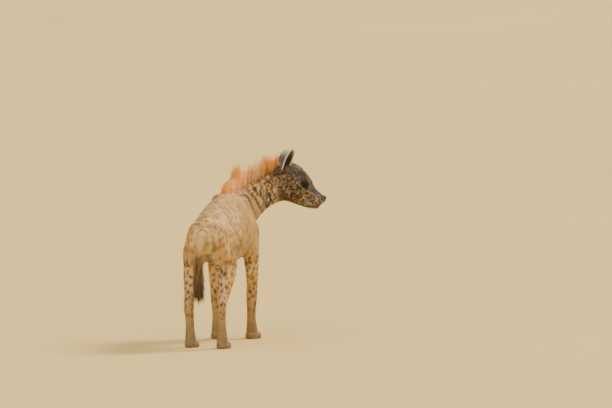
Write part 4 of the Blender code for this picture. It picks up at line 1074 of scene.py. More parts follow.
def lids(side):
    centre, looks, ahead, up = eye_frame(side)
    rings = []
    for scale, lift, sunk in ((0.90, 0.0001, None), (1.00, 0.0013, None), (1.10, 0.0028, None), (1.24, 0.0030, None),
                              (1.55, 0.0022, 0.5), (1.95, -0.0008, 1.0)):
        ring = []
        for k in range(40):
            turn = 2 * math.pi * k / 40
            c, s = math.cos(turn), math.sin(turn)
            a = LID_HALF_LENGTH * scale * c
            b = (LID_ABOVE if s > 0 else LID_BELOW) * scale * s * (1 - 0.30 * c * c)
            heavy = 0.0012 * max(s, 0.0) * (scale > 1.05)
            reach = EYE_RADIUS + CORNEA_RISE * 0.3 + lift + heavy
            on_ball = centre + ahead * a + up * b + looks * math.sqrt(max(reach * reach - a * a - b * b, 0.0))
            if sunk is None:
                ring.append(on_ball)
                continue
            far = centre + ahead * a + up * b + looks * 0.05
            hit = head_skin_surface.ray_cast(far, -looks)[0]
            ring.append(on_ball.lerp(hit + looks * (lift if sunk == 1.0 else 0.0024), 0.35 + 0.65 * (sunk == 1.0)))
        rings.append(ring)
    return rings_mesh(rings)


eye_glass = bpy.data.materials.new("polished_eye_glass")
eye_glass.use_nodes = True
tree = eye_glass.node_tree
away = add(tree, "ShaderNodeAttribute", attribute_name="away").outputs["Fac"]
threads = add(tree, "ShaderNodeTexNoise", {"Vector": add(tree, "ShaderNodeTexCoord").outputs["Object"], "Scale": 900.0})
iris = mixed(tree, threads.outputs["Fac"], linear("#140C07"), linear("#2A1A0C"))
inside = add(tree, "ShaderNodeMapRange", {"Value": away, "From Min": PUPIL - 0.03, "From Max": PUPIL + 0.03}).outputs[0]
outside = add(tree, "ShaderNodeMapRange", {"Value": away, "From Min": IRIS - 0.05, "From Max": IRIS + 0.05}).outputs[0]
colour = mixed(tree, outside, mixed(tree, inside, linear("#050404"), iris), linear("#1A1210"))
tree.links.new(colour, tree.nodes["Principled BSDF"].inputs["Base Color"])
tree.nodes["Principled BSDF"].inputs["Roughness"].default_value = 0.08
tree.nodes["Principled BSDF"].inputs["IOR"].default_value = 1.36

# Bare skin of lids and lips: dark and pebbled, with a dull gloss where it is moist
bare_skin = bpy.data.materials.new("bare_dark_skin")
bare_skin.use_nodes = True
tree = bare_skin.node_tree
place = add(tree, "ShaderNodeTexCoord").outputs["Object"]
pebbles = add(tree, "ShaderNodeTexVoronoi", {"Vector": place, "Scale": 1 / 0.0011}).outputs["Distance"]
patches = add(tree, "ShaderNodeTexNoise", {"Vector": place, "Scale": 1 / 0.006, "Detail": 3.0}).outputs["Fac"]
tree.links.new(mixed(tree, patches, linear("#0D0A09"), linear("#1C1614")), tree.nodes["Principled BSDF"].inputs["Base Color"])
tree.nodes["Principled BSDF"].inputs["Specular IOR Level"].default_value = 0.22
tree.links.new(scaled(tree, patches, 0.20, 0.52), tree.nodes["Principled BSDF"].inputs["Roughness"])
relief = add(tree, "ShaderNodeBump", {"Strength": 0.5, "Distance": 0.0003, "Height": pebbles})
tree.links.new(relief.outputs[0], tree.nodes["Principled BSDF"].inputs["Normal"])

for side, word in ((1, "left"), (-1, "right")):
    points, faces, away = eyeball(side)
    mesh = solid_mesh("glass_eye_" + word, [(points, faces)])
    mesh.attributes.new("away", "FLOAT", "POINT").data.foreach_set("value", np.array(away, np.float32))
    eye = piece("glass_eye_" + word, mesh, eye_glass)
    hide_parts("eye_" + word)
    lid = piece("lids_" + word, solid_mesh("lids_" + word, [lids(side)]), bare_skin)


# NOSE AND LIPS
# The nose pad is bare pebbled leather with two comma-shaped nostrils, parted by a groove down the middle.
# The lips show as two dark rolls along the closed mouth, from under the nose to the corner below the eye.
NOSE_START, NOSE_STANDS_OUT = (-0.012, 0.0, -0.011), 0.0007
NOSTRIL_PLACE, NOSTRIL_SIZE, NOSTRIL_DEPTH = (0.0105, -0.0075), (0.0052, 0.0044), 0.0075
MOUTH_LINE = (
    (-0.030, 1.0, 0.28, -0.0400),
    (-0.032, 0.8, 0.70, -0.0430),
    (-0.040, 0.3, 1.00, -0.0490),
    (-0.060, 0.0, 1.00, -0.0550),
    (-0.082, 0.0, 1.00, -0.0560),
    (-0.100, 0.0, 1.00, -0.0535),
    (-0.114, 0.0, 1.00, -0.0485),
)


def nose_pad():
    """The pad swells a little out of the muzzle's own surface, within an ellipsoid, with nostrils pressed into it."""
    start, centre, radii = (np.array(v) for v in (NOSE_START, NOSE_CENTRE, NOSE_RADII))
    rings = []
    for level in range(1, 60):
        tilt = math.pi * level / 60
        ring = []
        for k in range(84):
            turn = 2 * math.pi * k / 84
            way = np.array((math.cos(tilt), math.sin(tilt) * math.cos(turn), math.sin(tilt) * math.sin(turn)))
            a, b = way / radii, (start - centre) / radii
            reach = (-(a @ b) + math.sqrt((a @ b) ** 2 - (a @ a) * (b @ b - 1))) / (a @ a)
            skin = head_surface.ray_cast(head_place @ Vector(start), head_turn @ Vector(way))[3]
            if skin is not None:
                reach = min(reach, skin + NOSE_STANDS_OUT)
            p = start + way * reach
            wide = abs(p[1])
            across = (wide - NOSTRIL_PLACE[0]) / NOSTRIL_SIZE[0]
            lift = (p[2] - NOSTRIL_PLACE[1] + 0.25 * (wide - NOSTRIL_PLACE[0])) / NOSTRIL_SIZE[1]
            pit = math.exp(-(across ** 2 + lift ** 2) ** 1.6)
            slit = math.exp(-((p[2] - NOSTRIL_PLACE[1] + 0.0035) / 0.0016) ** 2) * float(np.clip((wide - 0.010) / 0.004, 0, 1))
            slit *= float(np.clip((0.0235 - wide) / 0.004, 0, 1))
            groove = math.exp(-(p[1] / 0.0011) ** 2) * float(np.clip((-0.004 - p[2]) / 0.004, 0, 1))
            if way[0] > -0.2:
                p[0] -= NOSTRIL_DEPTH * pit + 0.0028 * slit + 0.0016 * groove
                p[1] -= math.copysign(0.0014 * slit, p[1])
            ring.append(Vector(head_place @ Vector(p)))
        rings.append(ring)
    return rings_mesh(rings, True, True)


nose_leather = bpy.data.materials.new("pebbled_nose_leather")
nose_leather.use_nodes = True
tree = nose_leather.node_tree
place = add(tree, "ShaderNodeTexCoord").outputs["Object"]
pebbles = add(tree, "ShaderNodeTexVoronoi", {"Vector": place, "Scale": 1 / 0.0016}, feature="SMOOTH_F1").outputs["Distance"]
patches = add(tree, "ShaderNodeTexNoise", {"Vector": place, "Scale": 1 / 0.012, "Detail": 3.0}).outputs["Fac"]
cracks = add(tree, "ShaderNodeMapRange", {"Value": pebbles, "From Min": 0.15, "From Max": 0.75}).outputs[0]
skin_tone = mixed(tree, patches, linear("#343238"), linear("#55525A"))
tree.links.new(mixed(tree, cracks, skin_tone, linear("#18171A")), tree.nodes["Principled BSDF"].inputs["Base Color"])
tree.links.new(scaled(tree, patches, 0.20, 0.38), tree.nodes["Principled BSDF"].inputs["Roughness"])
relief = add(tree, "ShaderNodeBump", {"Strength": 0.7, "Distance": -0.0004, "Height": pebbles})
tree.links.new(relief.outputs[0], tree.nodes["Principled BSDF"].inputs["Normal"])
nose = piece("nose_pad", solid_mesh("nose_pad", [nose_pad()]), nose_leather)
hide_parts("nose")


def lip_line():
    """Points of the closed mouth on the skin with the way out of it, from one corner round to the other."""
    sides = {}
    for side in (1, -1):
        line = []
        for x, forward, out, z in MOUTH_LINE:
            way = (head_turn @ Vector((forward, side * out, 0))).normalized()
            line.append(head_skin_surface.ray_cast(head_place @ Vector((x, 0, z)), way)[0])
        sides[side] = line
    front = head_skin_surface.ray_cast(head_place @ Vector((-0.030, 0, -0.039)), head_turn @ Vector((1, 0, 0)))[0]
    points = list(reversed(sides[1])) + [front] + sides[-1]
    found = [head_skin_surface.find_nearest(Vector(point)) for point in between([tuple(p) for p in points], 4)]
    spots = np.array([tuple(near[0]) for near in found])
    ways = np.array([tuple(near[1]) for near in found])
    for _ in range(4):
        spots[1:-1] = spots[:-2] * 0.25 + spots[1:-1] * 0.5 + spots[2:] * 0.25
        ways[1:-1] = ways[:-2] * 0.25 + ways[1:-1] * 0.5 + ways[2:] * 0.25
    dense = between(np.hstack((spots, unit(ways))), 2)
    return [(Vector(row[:3]), Vector(row[3:]).normalized()) for row in dense]


def roll(line, raised, sunk, out_radius, up_radius):
    """A roll of skin along the line, let into the hide, thinning to its ends."""
    up_way = head_turn @ Vector((0, 0, 1))
    rings = []
    for k, (point, out) in enumerate(line):
        up = (up_way - out * up_way.dot(out)).normalized()
        thin = min(1.0, 0.30 + 0.05 * min(k, len(line) - 1 - k))
        centre = point + up * raised - out * sunk
        rings.append([centre + out * (out_radius * thin * math.cos(a)) + up * (up_radius * thin * math.sin(a))
                      for a in (2 * math.pi * step / 12 for step in range(12))])
    return rings_mesh(rings, True, True)


mouth = lip_line()
lip_parts = [roll(mouth, 0.0012, 0.0003, 0.0019, 0.0014), roll(mouth, -0.0014, 0.0008, 0.0019, 0.0014)]
lips = piece("lips", solid_mesh("lips", lip_parts), bare_skin)


# CLAWS
# Blunt, dark horn claws that stay out, four on each foot; the bare pads the animal stands on are part of the hide.
CLAW_SECTIONS = ((-0.004, 0.0158, 0.0044), (0.004, 0.0152, 0.0042), (0.009, 0.0138, 0.0036), (0.013, 0.0112, 0.0026),
                 (0.0165, 0.0078, 0.0013))


def claw(x, y, scale):
    rings = []
    for ahead, z, radius in between(CLAW_SECTIONS, 3):
        ring = []
        for k in range(12):
            turn = 2 * math.pi * k / 12
            across = math.cos(turn) * 0.72 * radius * scale
            rise = math.sin(turn) * radius * scale * (1.0 if math.sin(turn) > 0 else 0.75)
            ring.append(Vector((x + ahead * scale, y + across, z + rise)))
        rings.append(ring)
    return rings_mesh(rings, True, True)


claw_parts, pad_parts = [], []
for x, y, scale in paw_places():
    for k in range(4):
        ahead = 0.026 if k in (1, 2) else 0.012
        claw_parts.append(claw(x + (ahead + 0.020) * scale, y + (k - 1.5) * 0.0200 * scale, scale))

claw_horn = bpy.data.materials.new("claw_horn")
claw_horn.use_nodes = True
tree = claw_horn.node_tree
place = add(tree, "ShaderNodeTexCoord").outputs["Object"]
stretched = add(tree, "ShaderNodeMapping", {"Vector": place, "Scale": (1 / 0.02, 1 / 0.002, 1 / 0.002)}).outputs[0]
fibres = add(tree, "ShaderNodeTexNoise", {"Vector": stretched, "Scale": 1.0, "Detail": 3.0}).outputs["Fac"]
tree.links.new(mixed(tree, fibres, linear("#231D19"), linear("#5A4A3C")), tree.nodes["Principled BSDF"].inputs["Base Color"])
tree.links.new(scaled(tree, fibres, 0.25, 0.30), tree.nodes["Principled BSDF"].inputs["Roughness"])
relief = add(tree, "ShaderNodeBump", {"Strength": 0.4, "Distance": 0.0003, "Height": fibres})
tree.links.new(relief.outputs[0], tree.nodes["Principled BSDF"].inputs["Normal"])
claws = piece("claws", solid_mesh("claws", claw_parts), claw_horn)


# COAT
# Short, coarse hair that lies back and down, in thin flat tufts set over the whole hide as a taxidermist keeps it.
# It is shortest on the face, ears and feet, and long enough on neck and body to break the outline.
COAT_NODES = ()


def sow(skin, density, chance):
    """Root places spread over the skin: (points, normals), as many to the square metre as density says."""
    points, normals, quads = skin
    corners = points[quads]
    area = 0.5 * np.linalg.norm(np.cross(corners[:, 2] - corners[:, 0], corners[:, 3] - corners[:, 1]), axis=1)
    wanted = area * density(corners.mean(axis=1), unit(normals[quads].mean(axis=1)))
    count = np.floor(wanted + chance.random_sample(len(quads))).astype(int)
    which = np.repeat(np.arange(len(quads)), count)
    u, v = chance.random_sample((2, len(which), 1))
    weights = [(1 - u) * (1 - v), u * (1 - v), u * v, (1 - u) * v]
    place = sum(weight * points[quads[which, k]] for k, weight in enumerate(weights))
    normal = sum(weight * normals[quads[which, k]] for k, weight in enumerate(weights))
    return place, unit(normal)


# Rings of a tuft between its root and its tip: (share of its length, share of its width)
SHORT_TUFT = ((0.34, 1.0),)
LONG_TUFT = ((0.28, 1.0), (0.68, 0.66))


ROOT_SUNK = 0.0006


def tufts(roots, normals, out, droop, length, width, rings, thickness=0.30):
    """Closed blades with three edges, from each root along out and bent by droop towards the tip."""
    across = unit(np.cross(normals, out))
    points, tips, sides, shading = [roots - normals * ROOT_SUNK], [0.0], [0], [normals]
    for share, wide in rings:
        centre = roots + out * (length * share)[:, None] + droop * (length * share ** 2)[:, None]
        up = np.cross(unit(out + 2 * share * droop), across)
        half = (width * wide / 2)[:, None]
        points += [centre - across * half, centre + across * half, centre + up * half * 2 * thickness]
        shading += [unit(normals - 0.3 * across), unit(normals + 0.3 * across), unit(normals + 0.3 * up)]
        tips += [share] * 3
        sides += [-1, 1, 0]
    points.append(roots + out * length[:, None] + droop * length[:, None])
    shading.append(unit(normals + 0.25 * out))
    tips.append(1.0)
    sides.append(0)
    corners = [(0, 1 + (k + 1) % 3, 1 + k) for k in range(3)]
    for ring in range(len(rings) - 1):
        for k in range(3):
            a, b = 1 + ring * 3 + k, 1 + ring * 3 + (k + 1) % 3
            corners += [(a, b, b + 3), (a, b + 3, a + 3)]
    last = 1 + (len(rings) - 1) * 3
    corners += [(last + k, last + (k + 1) % 3, last + 3) for k in range(3)]
    return np.stack(points, axis=1), np.array(corners), np.array(tips), np.array(sides), np.stack(shading, axis=1)


def unwrapped(points, start, end):
    """Places on the skin unrolled round an axis: share along it and share of the turn round it."""
    start, end = np.array(start), np.array(end)
    axis = end - start
    reach = np.linalg.norm(axis)
    axis = axis / reach
    side = np.cross(axis, (0.0, 0.1, 1.0) if abs(axis[2]) < 0.9 else (1.0, 0.1, 0.0))
    side = side / np.linalg.norm(side)
    other = np.cross(axis, side)
    off = points - start
    turn = np.arctan2(off @ other, off @ side) / (2 * math.pi) + 0.5
    return np.stack((np.clip(off @ axis / reach, 0, 1) * 0.98 + 0.01, turn * 0.98 + 0.01), axis=1)


TUFT_PATCH = 0.003
FLOOR_CLEARANCE = 0.0006


def coat_piece(name, material, blades, roots, marks, axis):
    """One joined mesh of tufts, with the marks of their roots and a patch each on the map OFBake."""
    points, corners, tips, sides, shading = blades
    points[..., 2] = np.maximum(points[..., 2], FLOOR_CLEARANCE)
    count, own = points.shape[:2]
    faces = (corners[None] + (np.arange(count) * own)[:, None, None]).reshape(-1, 3)
    mesh = joined_mesh(name, [(points.reshape(-1, 3), faces)])
    marked(mesh, {key: np.repeat(marks[key], own) for key in MARKS}, np.repeat(roots, own, axis=0), np.tile(tips, count))
    place = unwrapped(roots, *axis)[:, None, :]
    patch = np.stack((tips - 0.5, sides * 0.5), axis=1) * TUFT_PATCH
    corner = np.empty(len(mesh.loops), np.int32)
    mesh.loops.foreach_get("vertex_index", corner)
    mesh.uv_layers.new(name="OFBake").data.foreach_set("uv", (place + patch[None]).reshape(-1, 2)[corner].ravel())
    mesh.normals_split_custom_set_from_vertices(shading.reshape(-1, 3).tolist())
    obj = piece(name, mesh, material)
    TALLY.append((name, len(faces)))
    return obj


TALLY = []
short_hair = hair_material("short_coat_hair", 0.055, 0.0040, 0.42, 0.62, 0.05, 0.25)


def hair_sizes(points):
    """(length, width) of the tufts rooted at each point."""
    head, neck, leg, tail = regions(points)
    behind = -in_head(points)[:, 0]
    z = points[:, 2]
    face_length = 0.0045 + 0.0045 * ramp(behind, 0.04, 0.14) + 0.0080 * ramp(behind, 0.18, 0.28)
    face_width = 0.0011 + 0.0009 * ramp(behind, 0.04, 0.26)
    leg_length = 0.0065 + 0.0085 * ramp(z, 0.06, 0.34)
    leg_width = 0.0014 + 0.0010 * ramp(z, 0.06, 0.34)
    length = 0.0270 - 0.0030 * neck
    width = 0.0030 - 0.0004 * neck
    length = length + (face_length - length) * head
    width = width + (face_width - width) * head
    length = length + (leg_length - length) * leg
    width = width + (leg_width - width) * leg
    length = length + (0.0190 - length) * tail
    width = width + (0.0024 - width) * tail
    return length, width


def lying(roots, normals, chance, length, height, wander=0.16, lie=None):
    """(out, droop) of hair that rises by height at its tip and lies along the coat."""
    lie = coat_lie(roots, normals) if lie is None else lie
    side = np.cross(normals, lie)
    lie = unit(lie + side * chance.normal(0, wander, len(roots))[:, None])
    rise = np.clip(height / length, 0.05, 0.9)[:, None]
    out = unit(lie + normals * 2.0 * rise)
    droop = normals * (-0.92 * rise) + side * chance.normal(0, 0.10, len(roots))[:, None]
    return out, droop


def clear_of_face(points):
    """No tufts on the nose and the eyes."""
    own = in_head(points)
    clear = ramp(-own[:, 0], 0.008, 0.020)
    for side, place in eye_places.items():
        off = own - in_head(place[None])[0]
        clear = clear * ramp(np.sqrt((off[:, 0] / 1.15) ** 2 + off[:, 1] ** 2 + (off[:, 2] * 1.25) ** 2), 0.0135, 0.0165)
    return clear


# Coat pieces: (name, which also sets where they grow, slot, which part of the hide, tufts to the square metre, axis it
# is unrolled on)
chance = np.random.RandomState(21)
coat_skins = {"body": body_skin, "head": head_skin, "paws": paw_skin}


def share_of(name):
    """How much of each region a coat piece takes at each point of the skin."""
    def allowed(points):
        head, neck, leg, tail = regions(points)
        x, y, _ = points.T
        trunk = (1 - head) * (1 - neck) * (tail < 0.5) * (leg < 0.5)
        if name == "coat_neck":
            return ((neck >= 0.5) | (head > 0)) & (leg < 0.5)
        if name.startswith("coat_leg"):
            return (leg >= 0.5) & (tail < 0.5) & ((x > -0.1) == name.endswith("fore"))
        if name == "coat_tail":
            return tail >= 0.5
        if name == "coat_head":
            return points[:, 2] > 0
        front = x > -0.06
        left = y > 0
        return (neck < 0.5) & (head == 0) & (leg < 0.5) & (tail < 0.5) & (front == ("front" in name)) & (left == ("left" in name))
    return allowed


COAT_PIECES = (
    ("coat_head", "head_coat", "head", 205000, ((0.53, -0.25, 0.79), (0.59, -0.43, 0.70))),
    ("coat_neck", "neck_and_mane", "body", 140000, ((0.20, 0.02, 0.64), (0.53, -0.24, 0.79))),
    ("coat_front_left", "sandy_coat", "body", 122000, ((0.40, 0.0, 0.60), (-0.08, 0.0, 0.58))),
    ("coat_front_right", "sandy_coat", "body", 122000, ((0.40, 0.0, 0.60), (-0.08, 0.0, 0.58))),
    ("coat_rear_left", "sandy_coat", "body", 122000, ((-0.04, 0.0, 0.58), (-0.52, 0.0, 0.52))),
    ("coat_rear_right", "sandy_coat", "body", 122000, ((-0.04, 0.0, 0.58), (-0.52, 0.0, 0.52))),
    ("coat_leg_fore", "leg_coat", "body", 115000, ((0.26, 0.0, 0.55), (0.26, 0.0, 0.09))),
    ("coat_leg_hind", "leg_coat", "body", 115000, ((-0.35, 0.0, 0.55), (-0.37, 0.0, 0.09))),
    ("coat_feet", "foot_coat", "paws", 150000, ((0.0, 0.0, 0.12), (0.0, 0.0, 0.0))),
    ("coat_tail", "tail_coat", "body", 90000, ((-0.50, 0.0, 0.60), (-0.55, 0.0, 0.31))),
)
for name, slot, part, density, axis in COAT_PIECES:
    allowed = share_of(name) if part != "paws" else None

    def wanted(points, normals):
        base = np.full(len(points), float(density))
        if part == "head":
            base = base * clear_of_face(points) * (from_cut(points, HEAD_CUT) > -0.004)
        elif part == "paws":
            base = base * (1 - ramp(-normals[:, 2], 0.4, 0.7))
        else:
            base = base * allowed(points)
        return base

    roots, normals = sow(coat_skins[part], wanted, chance)
    length, width = hair_sizes(roots)
    length = length * chance.uniform(0.75, 1.2, len(roots))
    width = width * chance.uniform(0.75, 1.25, len(roots))
    height = np.maximum(coat_depth(roots), 0.0010) * chance.uniform(0.30, 1.0, len(roots))
    out, droop = lying(roots, normals, chance, length, height)
    blades = tufts(roots, normals, out, droop, length, width, SHORT_TUFT)
    seen = roots + out * (length * 0.5)[:, None]
    coat_piece(name, short_hair, blades, roots, markings(seen, normals), axis)

# The ears are haired outside and inside alike, from the root to the rim
for side, word in ((1, "left"), (-1, "right")):
    ear = ear_shells[0 if side == 1 else 1]
    roots, normals = sow(ear, lambda points, normals: np.full(len(points), 190000.0), chance)
    own = in_ear(roots, side)
    nearest = [head_surface.find_nearest(p) for p in roots.tolist()]
    hidden = np.array([(Vector(p) - near[0]).dot(near[1]) < -0.001 for p, near in zip(roots.tolist(), nearest)])
    roots, normals, own = roots[~hidden], normals[~hidden], own[~hidden]
    up_ear = np.array(ear_place(side).to_3x3() @ Vector((0, 0, 1)))
    out_ear = np.sign(own[:, 1:2]) * np.array(ear_place(side).to_3x3() @ Vector((0, 1, 0)))
    lie = up_ear[None] + 0.5 * out_ear
    lie = unit(lie - normals * (lie * normals).sum(axis=1)[:, None])
    foot = 1 - ramp(own[:, 2] / EAR_HEIGHT, 0.0, 0.26)
    length = (0.0058 + 0.0110 * foot) * chance.uniform(0.7, 1.3, len(roots))
    width = (0.0012 + 0.0006 * foot) * chance.uniform(0.8, 1.2, len(roots))
    out, droop = lying(roots, normals, chance, length, np.full(len(roots), EAR_COAT) * chance.uniform(0.6, 1.2, len(roots)), 0.16, lie)
    blades = tufts(roots, normals, out, droop, length, width, SHORT_TUFT)
    tip = Vector((0, 0, EAR_HEIGHT))
    axis = (tuple(ear_place(side) @ Vector((0.006, 0, 0))), tuple(ear_place(side) @ Vector((0.006, 0, EAR_HEIGHT))))
    coat_piece("coat_ear_" + word, short_hair, blades, roots, markings(roots, normals, side), axis)


# WHISKERS
# Stiff dark hairs in rows on the upper lip and a few over the eye, each set singly and swept back.
WHISKER_ROWS = ((0.030, -0.024), (0.038, -0.030), (0.047, -0.034), (0.056, -0.037), (0.036, -0.018), (0.046, -0.022),
                (0.057, -0.026), (0.068, -0.031), (0.044, -0.041), (0.150, 0.056), (0.156, 0.054))
chance = np.random.RandomState(41)
roots, normals, outs, droops = [], [], [], []
for side in (1, -1):
    for behind, high in WHISKER_ROWS:
        start = head_place @ Vector((-behind - chance.uniform(0, 0.004), 0, high + chance.uniform(-0.002, 0.002)))
        place, normal, _, _ = head_skin_surface.ray_cast(start, head_turn @ Vector((0, side, 0)))
        roots.append(place)
        normals.append(normal)
        outs.append((normal * 0.55 + head_turn @ Vector((-0.75, side * 0.15, chance.uniform(-0.30, 0.05)))).normalized())
        droops.append(head_turn @ Vector((-0.10, -side * 0.12, -0.22)))
roots, normals, outs, droops = (np.array([tuple(v) for v in rows]) for rows in (roots, normals, outs, droops))
lengths, widths = chance.uniform(0.026, 0.044, len(roots)), np.full(len(roots), 0.0007)
blades = tufts(roots, normals, outs, droops, lengths, widths, ((0.15, 1.0), (0.40, 0.85), (0.70, 0.55)), 0.8)
marks = markings(roots, normals)
marks["dark"] = np.full(len(roots), 0.95)
coat_piece("whiskers", short_hair, blades, roots, marks, ((0.53, -0.25, 0.79), (0.59, -0.43, 0.70)))


# MANE AND TAIL BRUSH
# Coarse erect hair in wisps along the crest of the neck, from behind the ears to the withers, and a black brush.
# Each wisp is some dozens of long blades whose tips draw together, rooted in rows either side of the crest.
# Height of the wisps by distance along the crest in front of the base of the neck
MANE_TOP = ((-0.20, 0.030), (-0.18, 0.046), (-0.10, 0.058), (-0.02, 0.062), (0.020, 0.066), (0.058, 0.084),
            (0.078, 0.152), (0.098, 0.152), (0.116, 0.104), (0.125, 0.098), (0.15, 0.104), (0.20, 0.122),
            (0.25, 0.138), (0.30, 0.132), (0.338, 0.088))
MANE_HALF_WIDTH = 0.021
WISPS, WISP_BLADES = 480, 32
THIN_PART = (0.140, 0.265)
DARK_LOCK, DARK_LOCK_REACH = 0.288, 0.014
mane_hair = hair_material("mane_hair", 0.05, 0.0035, 0.55, 0.55, 0.15, 0.25)

back_line = np.stack((np.linspace(0.02, 0.14, 13), np.zeros(13), np.full(13, 0.62)), axis=1)
crest_line = np.vstack((back_line, neck_path))
crest_way = unit(np.gradient(crest_line, axis=0))
crest_reach = np.concatenate(([0.0], np.cumsum(np.linalg.norm(np.diff(crest_line, axis=0), axis=1))))
crest_reach -= crest_reach[len(back_line) + 10]
whole_surface = BVHTree.FromPolygons(np.vstack((body_skin[0], head_skin[0])).tolist(),
                                     body_skin[2].tolist() + (head_skin[2] + len(body_skin[0])).tolist())
chance = np.random.RandomState(33)
roots, normals, outs, droops, lengths, widths, reaches = [], [], [], [], [], [], []
for wisp in range(WISPS):
    reach = chance.uniform(-0.20, 0.338)
    thin = THIN_PART[0] < reach < THIN_PART[1]
    if thin and chance.random_sample() < 0.40:
        continue
    offset = chance.uniform(-1, 1) * MANE_HALF_WIDTH
    here = Vector([np.interp(reach, crest_reach, crest_line[:, k]) for k in range(3)])
    ahead = Vector([np.interp(reach, crest_reach, crest_way[:, k]) for k in range(3)]).normalized()
    up = (Vector((0, 0, 1)) - ahead * ahead.z).normalized()
    left = up.cross(ahead).normalized()
    tall = float(np.interp(reach, *zip(*MANE_TOP))) * (1 - 7.0 * abs(offset)) * chance.uniform(0.58, 1.10)
    lean = 0.16 - 0.10 * ramp(np.array(0.02 - reach), 0.0, 0.12) + chance.uniform(-0.12, 0.12)
    way = (Vector((0, 0, 1)) + left * (offset * 5 + chance.uniform(-0.08, 0.08)) + ahead * float(lean)).normalized()
    middle, _, _, _ = whole_surface.ray_cast(here + left * offset + up * 0.30, -up)
    if middle is None:
        continue
    for blade in range(WISP_BLADES):
        start = middle + left * chance.normal(0, 0.0060) + ahead * chance.normal(0, 0.0095) + up * 0.05
        place, normal, _, _ = whole_surface.ray_cast(start, -up)
        if place is None:
            continue
        end = middle + way * (tall * chance.uniform(0.40, 1.08)) + (place - middle) * 0.35
        end = end + left * chance.normal(0, 0.003) + ahead * chance.normal(0, 0.004)
        out = (end - place).normalized()
        bend = -ahead * 0.12 + left * chance.normal(0, 0.06)
        roots.append(place)
        normals.append(normal)
        outs.append((out - bend).normalized())
        droops.append(bend)
        lengths.append((end - place).length)
        widths.append(chance.uniform(0.0011, 0.0021))
        reaches.append(reach + chance.normal(0, 0.006))
roots, normals, outs, droops = (np.array([tuple(v) for v in rows]) for rows in (roots, normals, outs, droops))
lengths, widths, reaches = np.array(lengths), np.array(widths), np.array(reaches)
soft = unit(0.6 * normals + 0.5 * unit(np.cross(outs, np.cross(normals, outs))))
blades = tufts(roots, normals, outs, droops, lengths, widths, LONG_TUFT, 0.35)
marks = markings(roots, normals)
thin = ramp(reaches, THIN_PART[0] - 0.02, THIN_PART[0] + 0.02) * (1 - ramp(reaches, THIN_PART[1] - 0.01, THIN_PART[1] + 0.02))
wisp_tone = chance.uniform(-0.15, 0.10, len(reaches))
marks["rust"] = np.clip(1.05 - 0.30 * thin - 0.25 * ramp(reaches, 0.25, 0.31) + wisp_tone, 0, 1)
marks["pale"] = 0.08 * thin
marks["grey"] = marks["slate"] = np.zeros(len(reaches))
marks["spot"] = 0.10 * (reaches < THIN_PART[0])
dark_lock = np.exp(-((reaches - DARK_LOCK) / DARK_LOCK_REACH) ** 2) * (lengths < 0.068)
marks["dark"] = 0.85 * dark_lock
coat_piece("mane", mane_hair, blades, roots, marks, ((0.20, 0.02, 0.64), (0.53, -0.24, 0.79)))

BRUSH_TOP, BRUSH_FOOT, BRUSH_BLADES = 0.495, 0.335, 2100
tail_path = np.array(between(list(TAIL_STATIONS.values()), 10))
level = chance.uniform(BRUSH_FOOT, BRUSH_TOP, BRUSH_BLADES)
order = np.argsort(tail_path[:, 2])
middle = np.stack([np.interp(level, tail_path[order, 2], tail_path[order, k]) for k in range(3)], axis=1)
turn = chance.uniform(0, 2 * math.pi, BRUSH_BLADES)
round_tail = np.stack((np.cos(turn), np.sin(turn), 0 * turn), axis=1)
roots = middle + round_tail * (np.interp(level, tail_path[order, 2], tail_path[order, 3]) - 0.003)[:, None]
outs = unit(round_tail * chance.uniform(0.08, 0.30, BRUSH_BLADES)[:, None] + np.array((0.02, 0, -1.0)))
droops = -round_tail * chance.uniform(-0.04, 0.22, BRUSH_BLADES)[:, None]
lengths = chance.uniform(0.050, 0.118, BRUSH_BLADES) * (1 - 0.35 * ramp(level, 0.42, BRUSH_TOP))
widths = chance.uniform(0.0020, 0.0036, BRUSH_BLADES)
blades = tufts(roots, round_tail, outs, droops, lengths, widths, LONG_TUFT, 0.35)
marks = markings(roots, round_tail)
marks["dark"] = 0.92 - 0.35 * chance.random_sample(BRUSH_BLADES) * ramp(level, 0.36, BRUSH_TOP)
coat_piece("tail_brush", mane_hair, blades, roots, marks, ((-0.50, 0.0, 0.60), (-0.55, 0.0, 0.31)))
print("COAT", TALLY, sum(count for _, count in TALLY), "HIDE", len(hide.data.polygons) * 2)


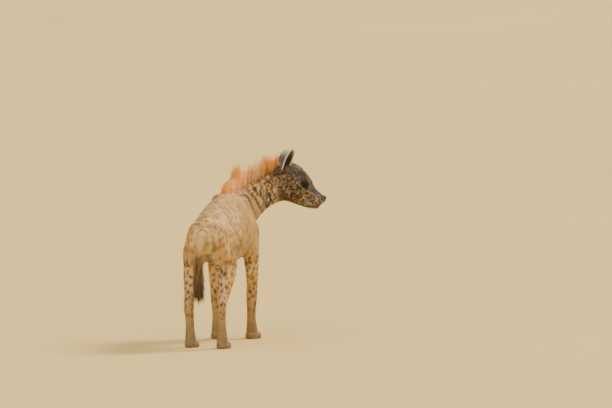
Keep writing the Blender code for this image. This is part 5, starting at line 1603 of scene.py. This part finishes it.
# FLOOR, LIGHT AND CAMERA
# The model stands on a wide matt floor of pale straw colour, under a large soft light as under a hazy sky.
# A second light from behind on the right draws the bright rim on the forehead, the nose and the ear.
FLOOR_REACH = 260.0
bm = bmesh.new()
bmesh.ops.create_grid(bm, x_segments=8, y_segments=8, size=FLOOR_REACH)
floor_mesh = bpy.data.meshes.new("studio_floor")
bm.to_mesh(floor_mesh)
bm.free()
studio_floor = bpy.data.objects.new("studio_floor", floor_mesh)
bpy.context.scene.collection.objects.link(studio_floor)
floor_paint = bpy.data.materials.new("matt_floor_paint")
floor_paint.use_nodes = True
tree = floor_paint.node_tree
cloud = add(tree, "ShaderNodeTexNoise", {"Vector": add(tree, "ShaderNodeTexCoord").outputs["Object"], "Scale": 0.12,
                                         "Detail": 2.0}).outputs["Fac"]
tree.links.new(mixed(tree, cloud, linear("#D0B474"), linear("#DAC286")), tree.nodes["Principled BSDF"].inputs["Base Color"])
tree.nodes["Principled BSDF"].inputs["Roughness"].default_value = 0.95
tree.nodes["Principled BSDF"].inputs["Specular IOR Level"].default_value = 0.1
floor_mesh.materials.append(floor_paint)

CAMERA_TARGET = Vector((0.297, -0.230, 0.706))
CAMERA_AZIMUTH, CAMERA_ELEVATION = math.radians(-78), math.radians(3)
CAMERA_DISTANCE = 30.0
LENS, SENSOR = 339.0, 36.0
look = Vector((-math.sin(CAMERA_AZIMUTH) * math.cos(CAMERA_ELEVATION), math.cos(CAMERA_AZIMUTH) * math.cos(CAMERA_ELEVATION),
               -math.sin(CAMERA_ELEVATION)))
camera_data = bpy.data.cameras.new("camera")
camera_data.lens = LENS
camera_data.sensor_width = SENSOR
camera_data.clip_end = 1000.0
camera = bpy.data.objects.new("camera", camera_data)
camera.location = CAMERA_TARGET - look * CAMERA_DISTANCE
camera.rotation_euler = look.to_track_quat("-Z", "Y").to_euler()
bpy.context.scene.collection.objects.link(camera)
bpy.context.scene.camera = camera


def soft_light(name, comes_from, strength, spread, colour):
    """Light from a far wide panel, whose shadows are as soft as the degrees it spreads over."""
    data = bpy.data.lights.new(name, "SUN")
    data.energy = strength
    data.angle = math.radians(spread)
    data.color = linear(colour)[:3]
    lamp = bpy.data.objects.new(name, data)
    lamp.rotation_euler = Vector(comes_from).to_track_quat("Z", "Y").to_euler()
    bpy.context.scene.collection.objects.link(lamp)


soft_light("key_light", (0.62, -0.66, 0.95), 3.7, 20, "#FFF4E2")
soft_light("fill_light", (-0.86, 0.12, 0.90), 1.5, 60, "#F4F5FF")
world = bpy.data.worlds.new("hazy_sky")
world.use_nodes = True
world.node_tree.nodes["Background"].inputs["Color"].default_value = linear("#F4E6C8")
world.node_tree.nodes["Background"].inputs["Strength"].default_value = 1.05
bpy.context.scene.world = world
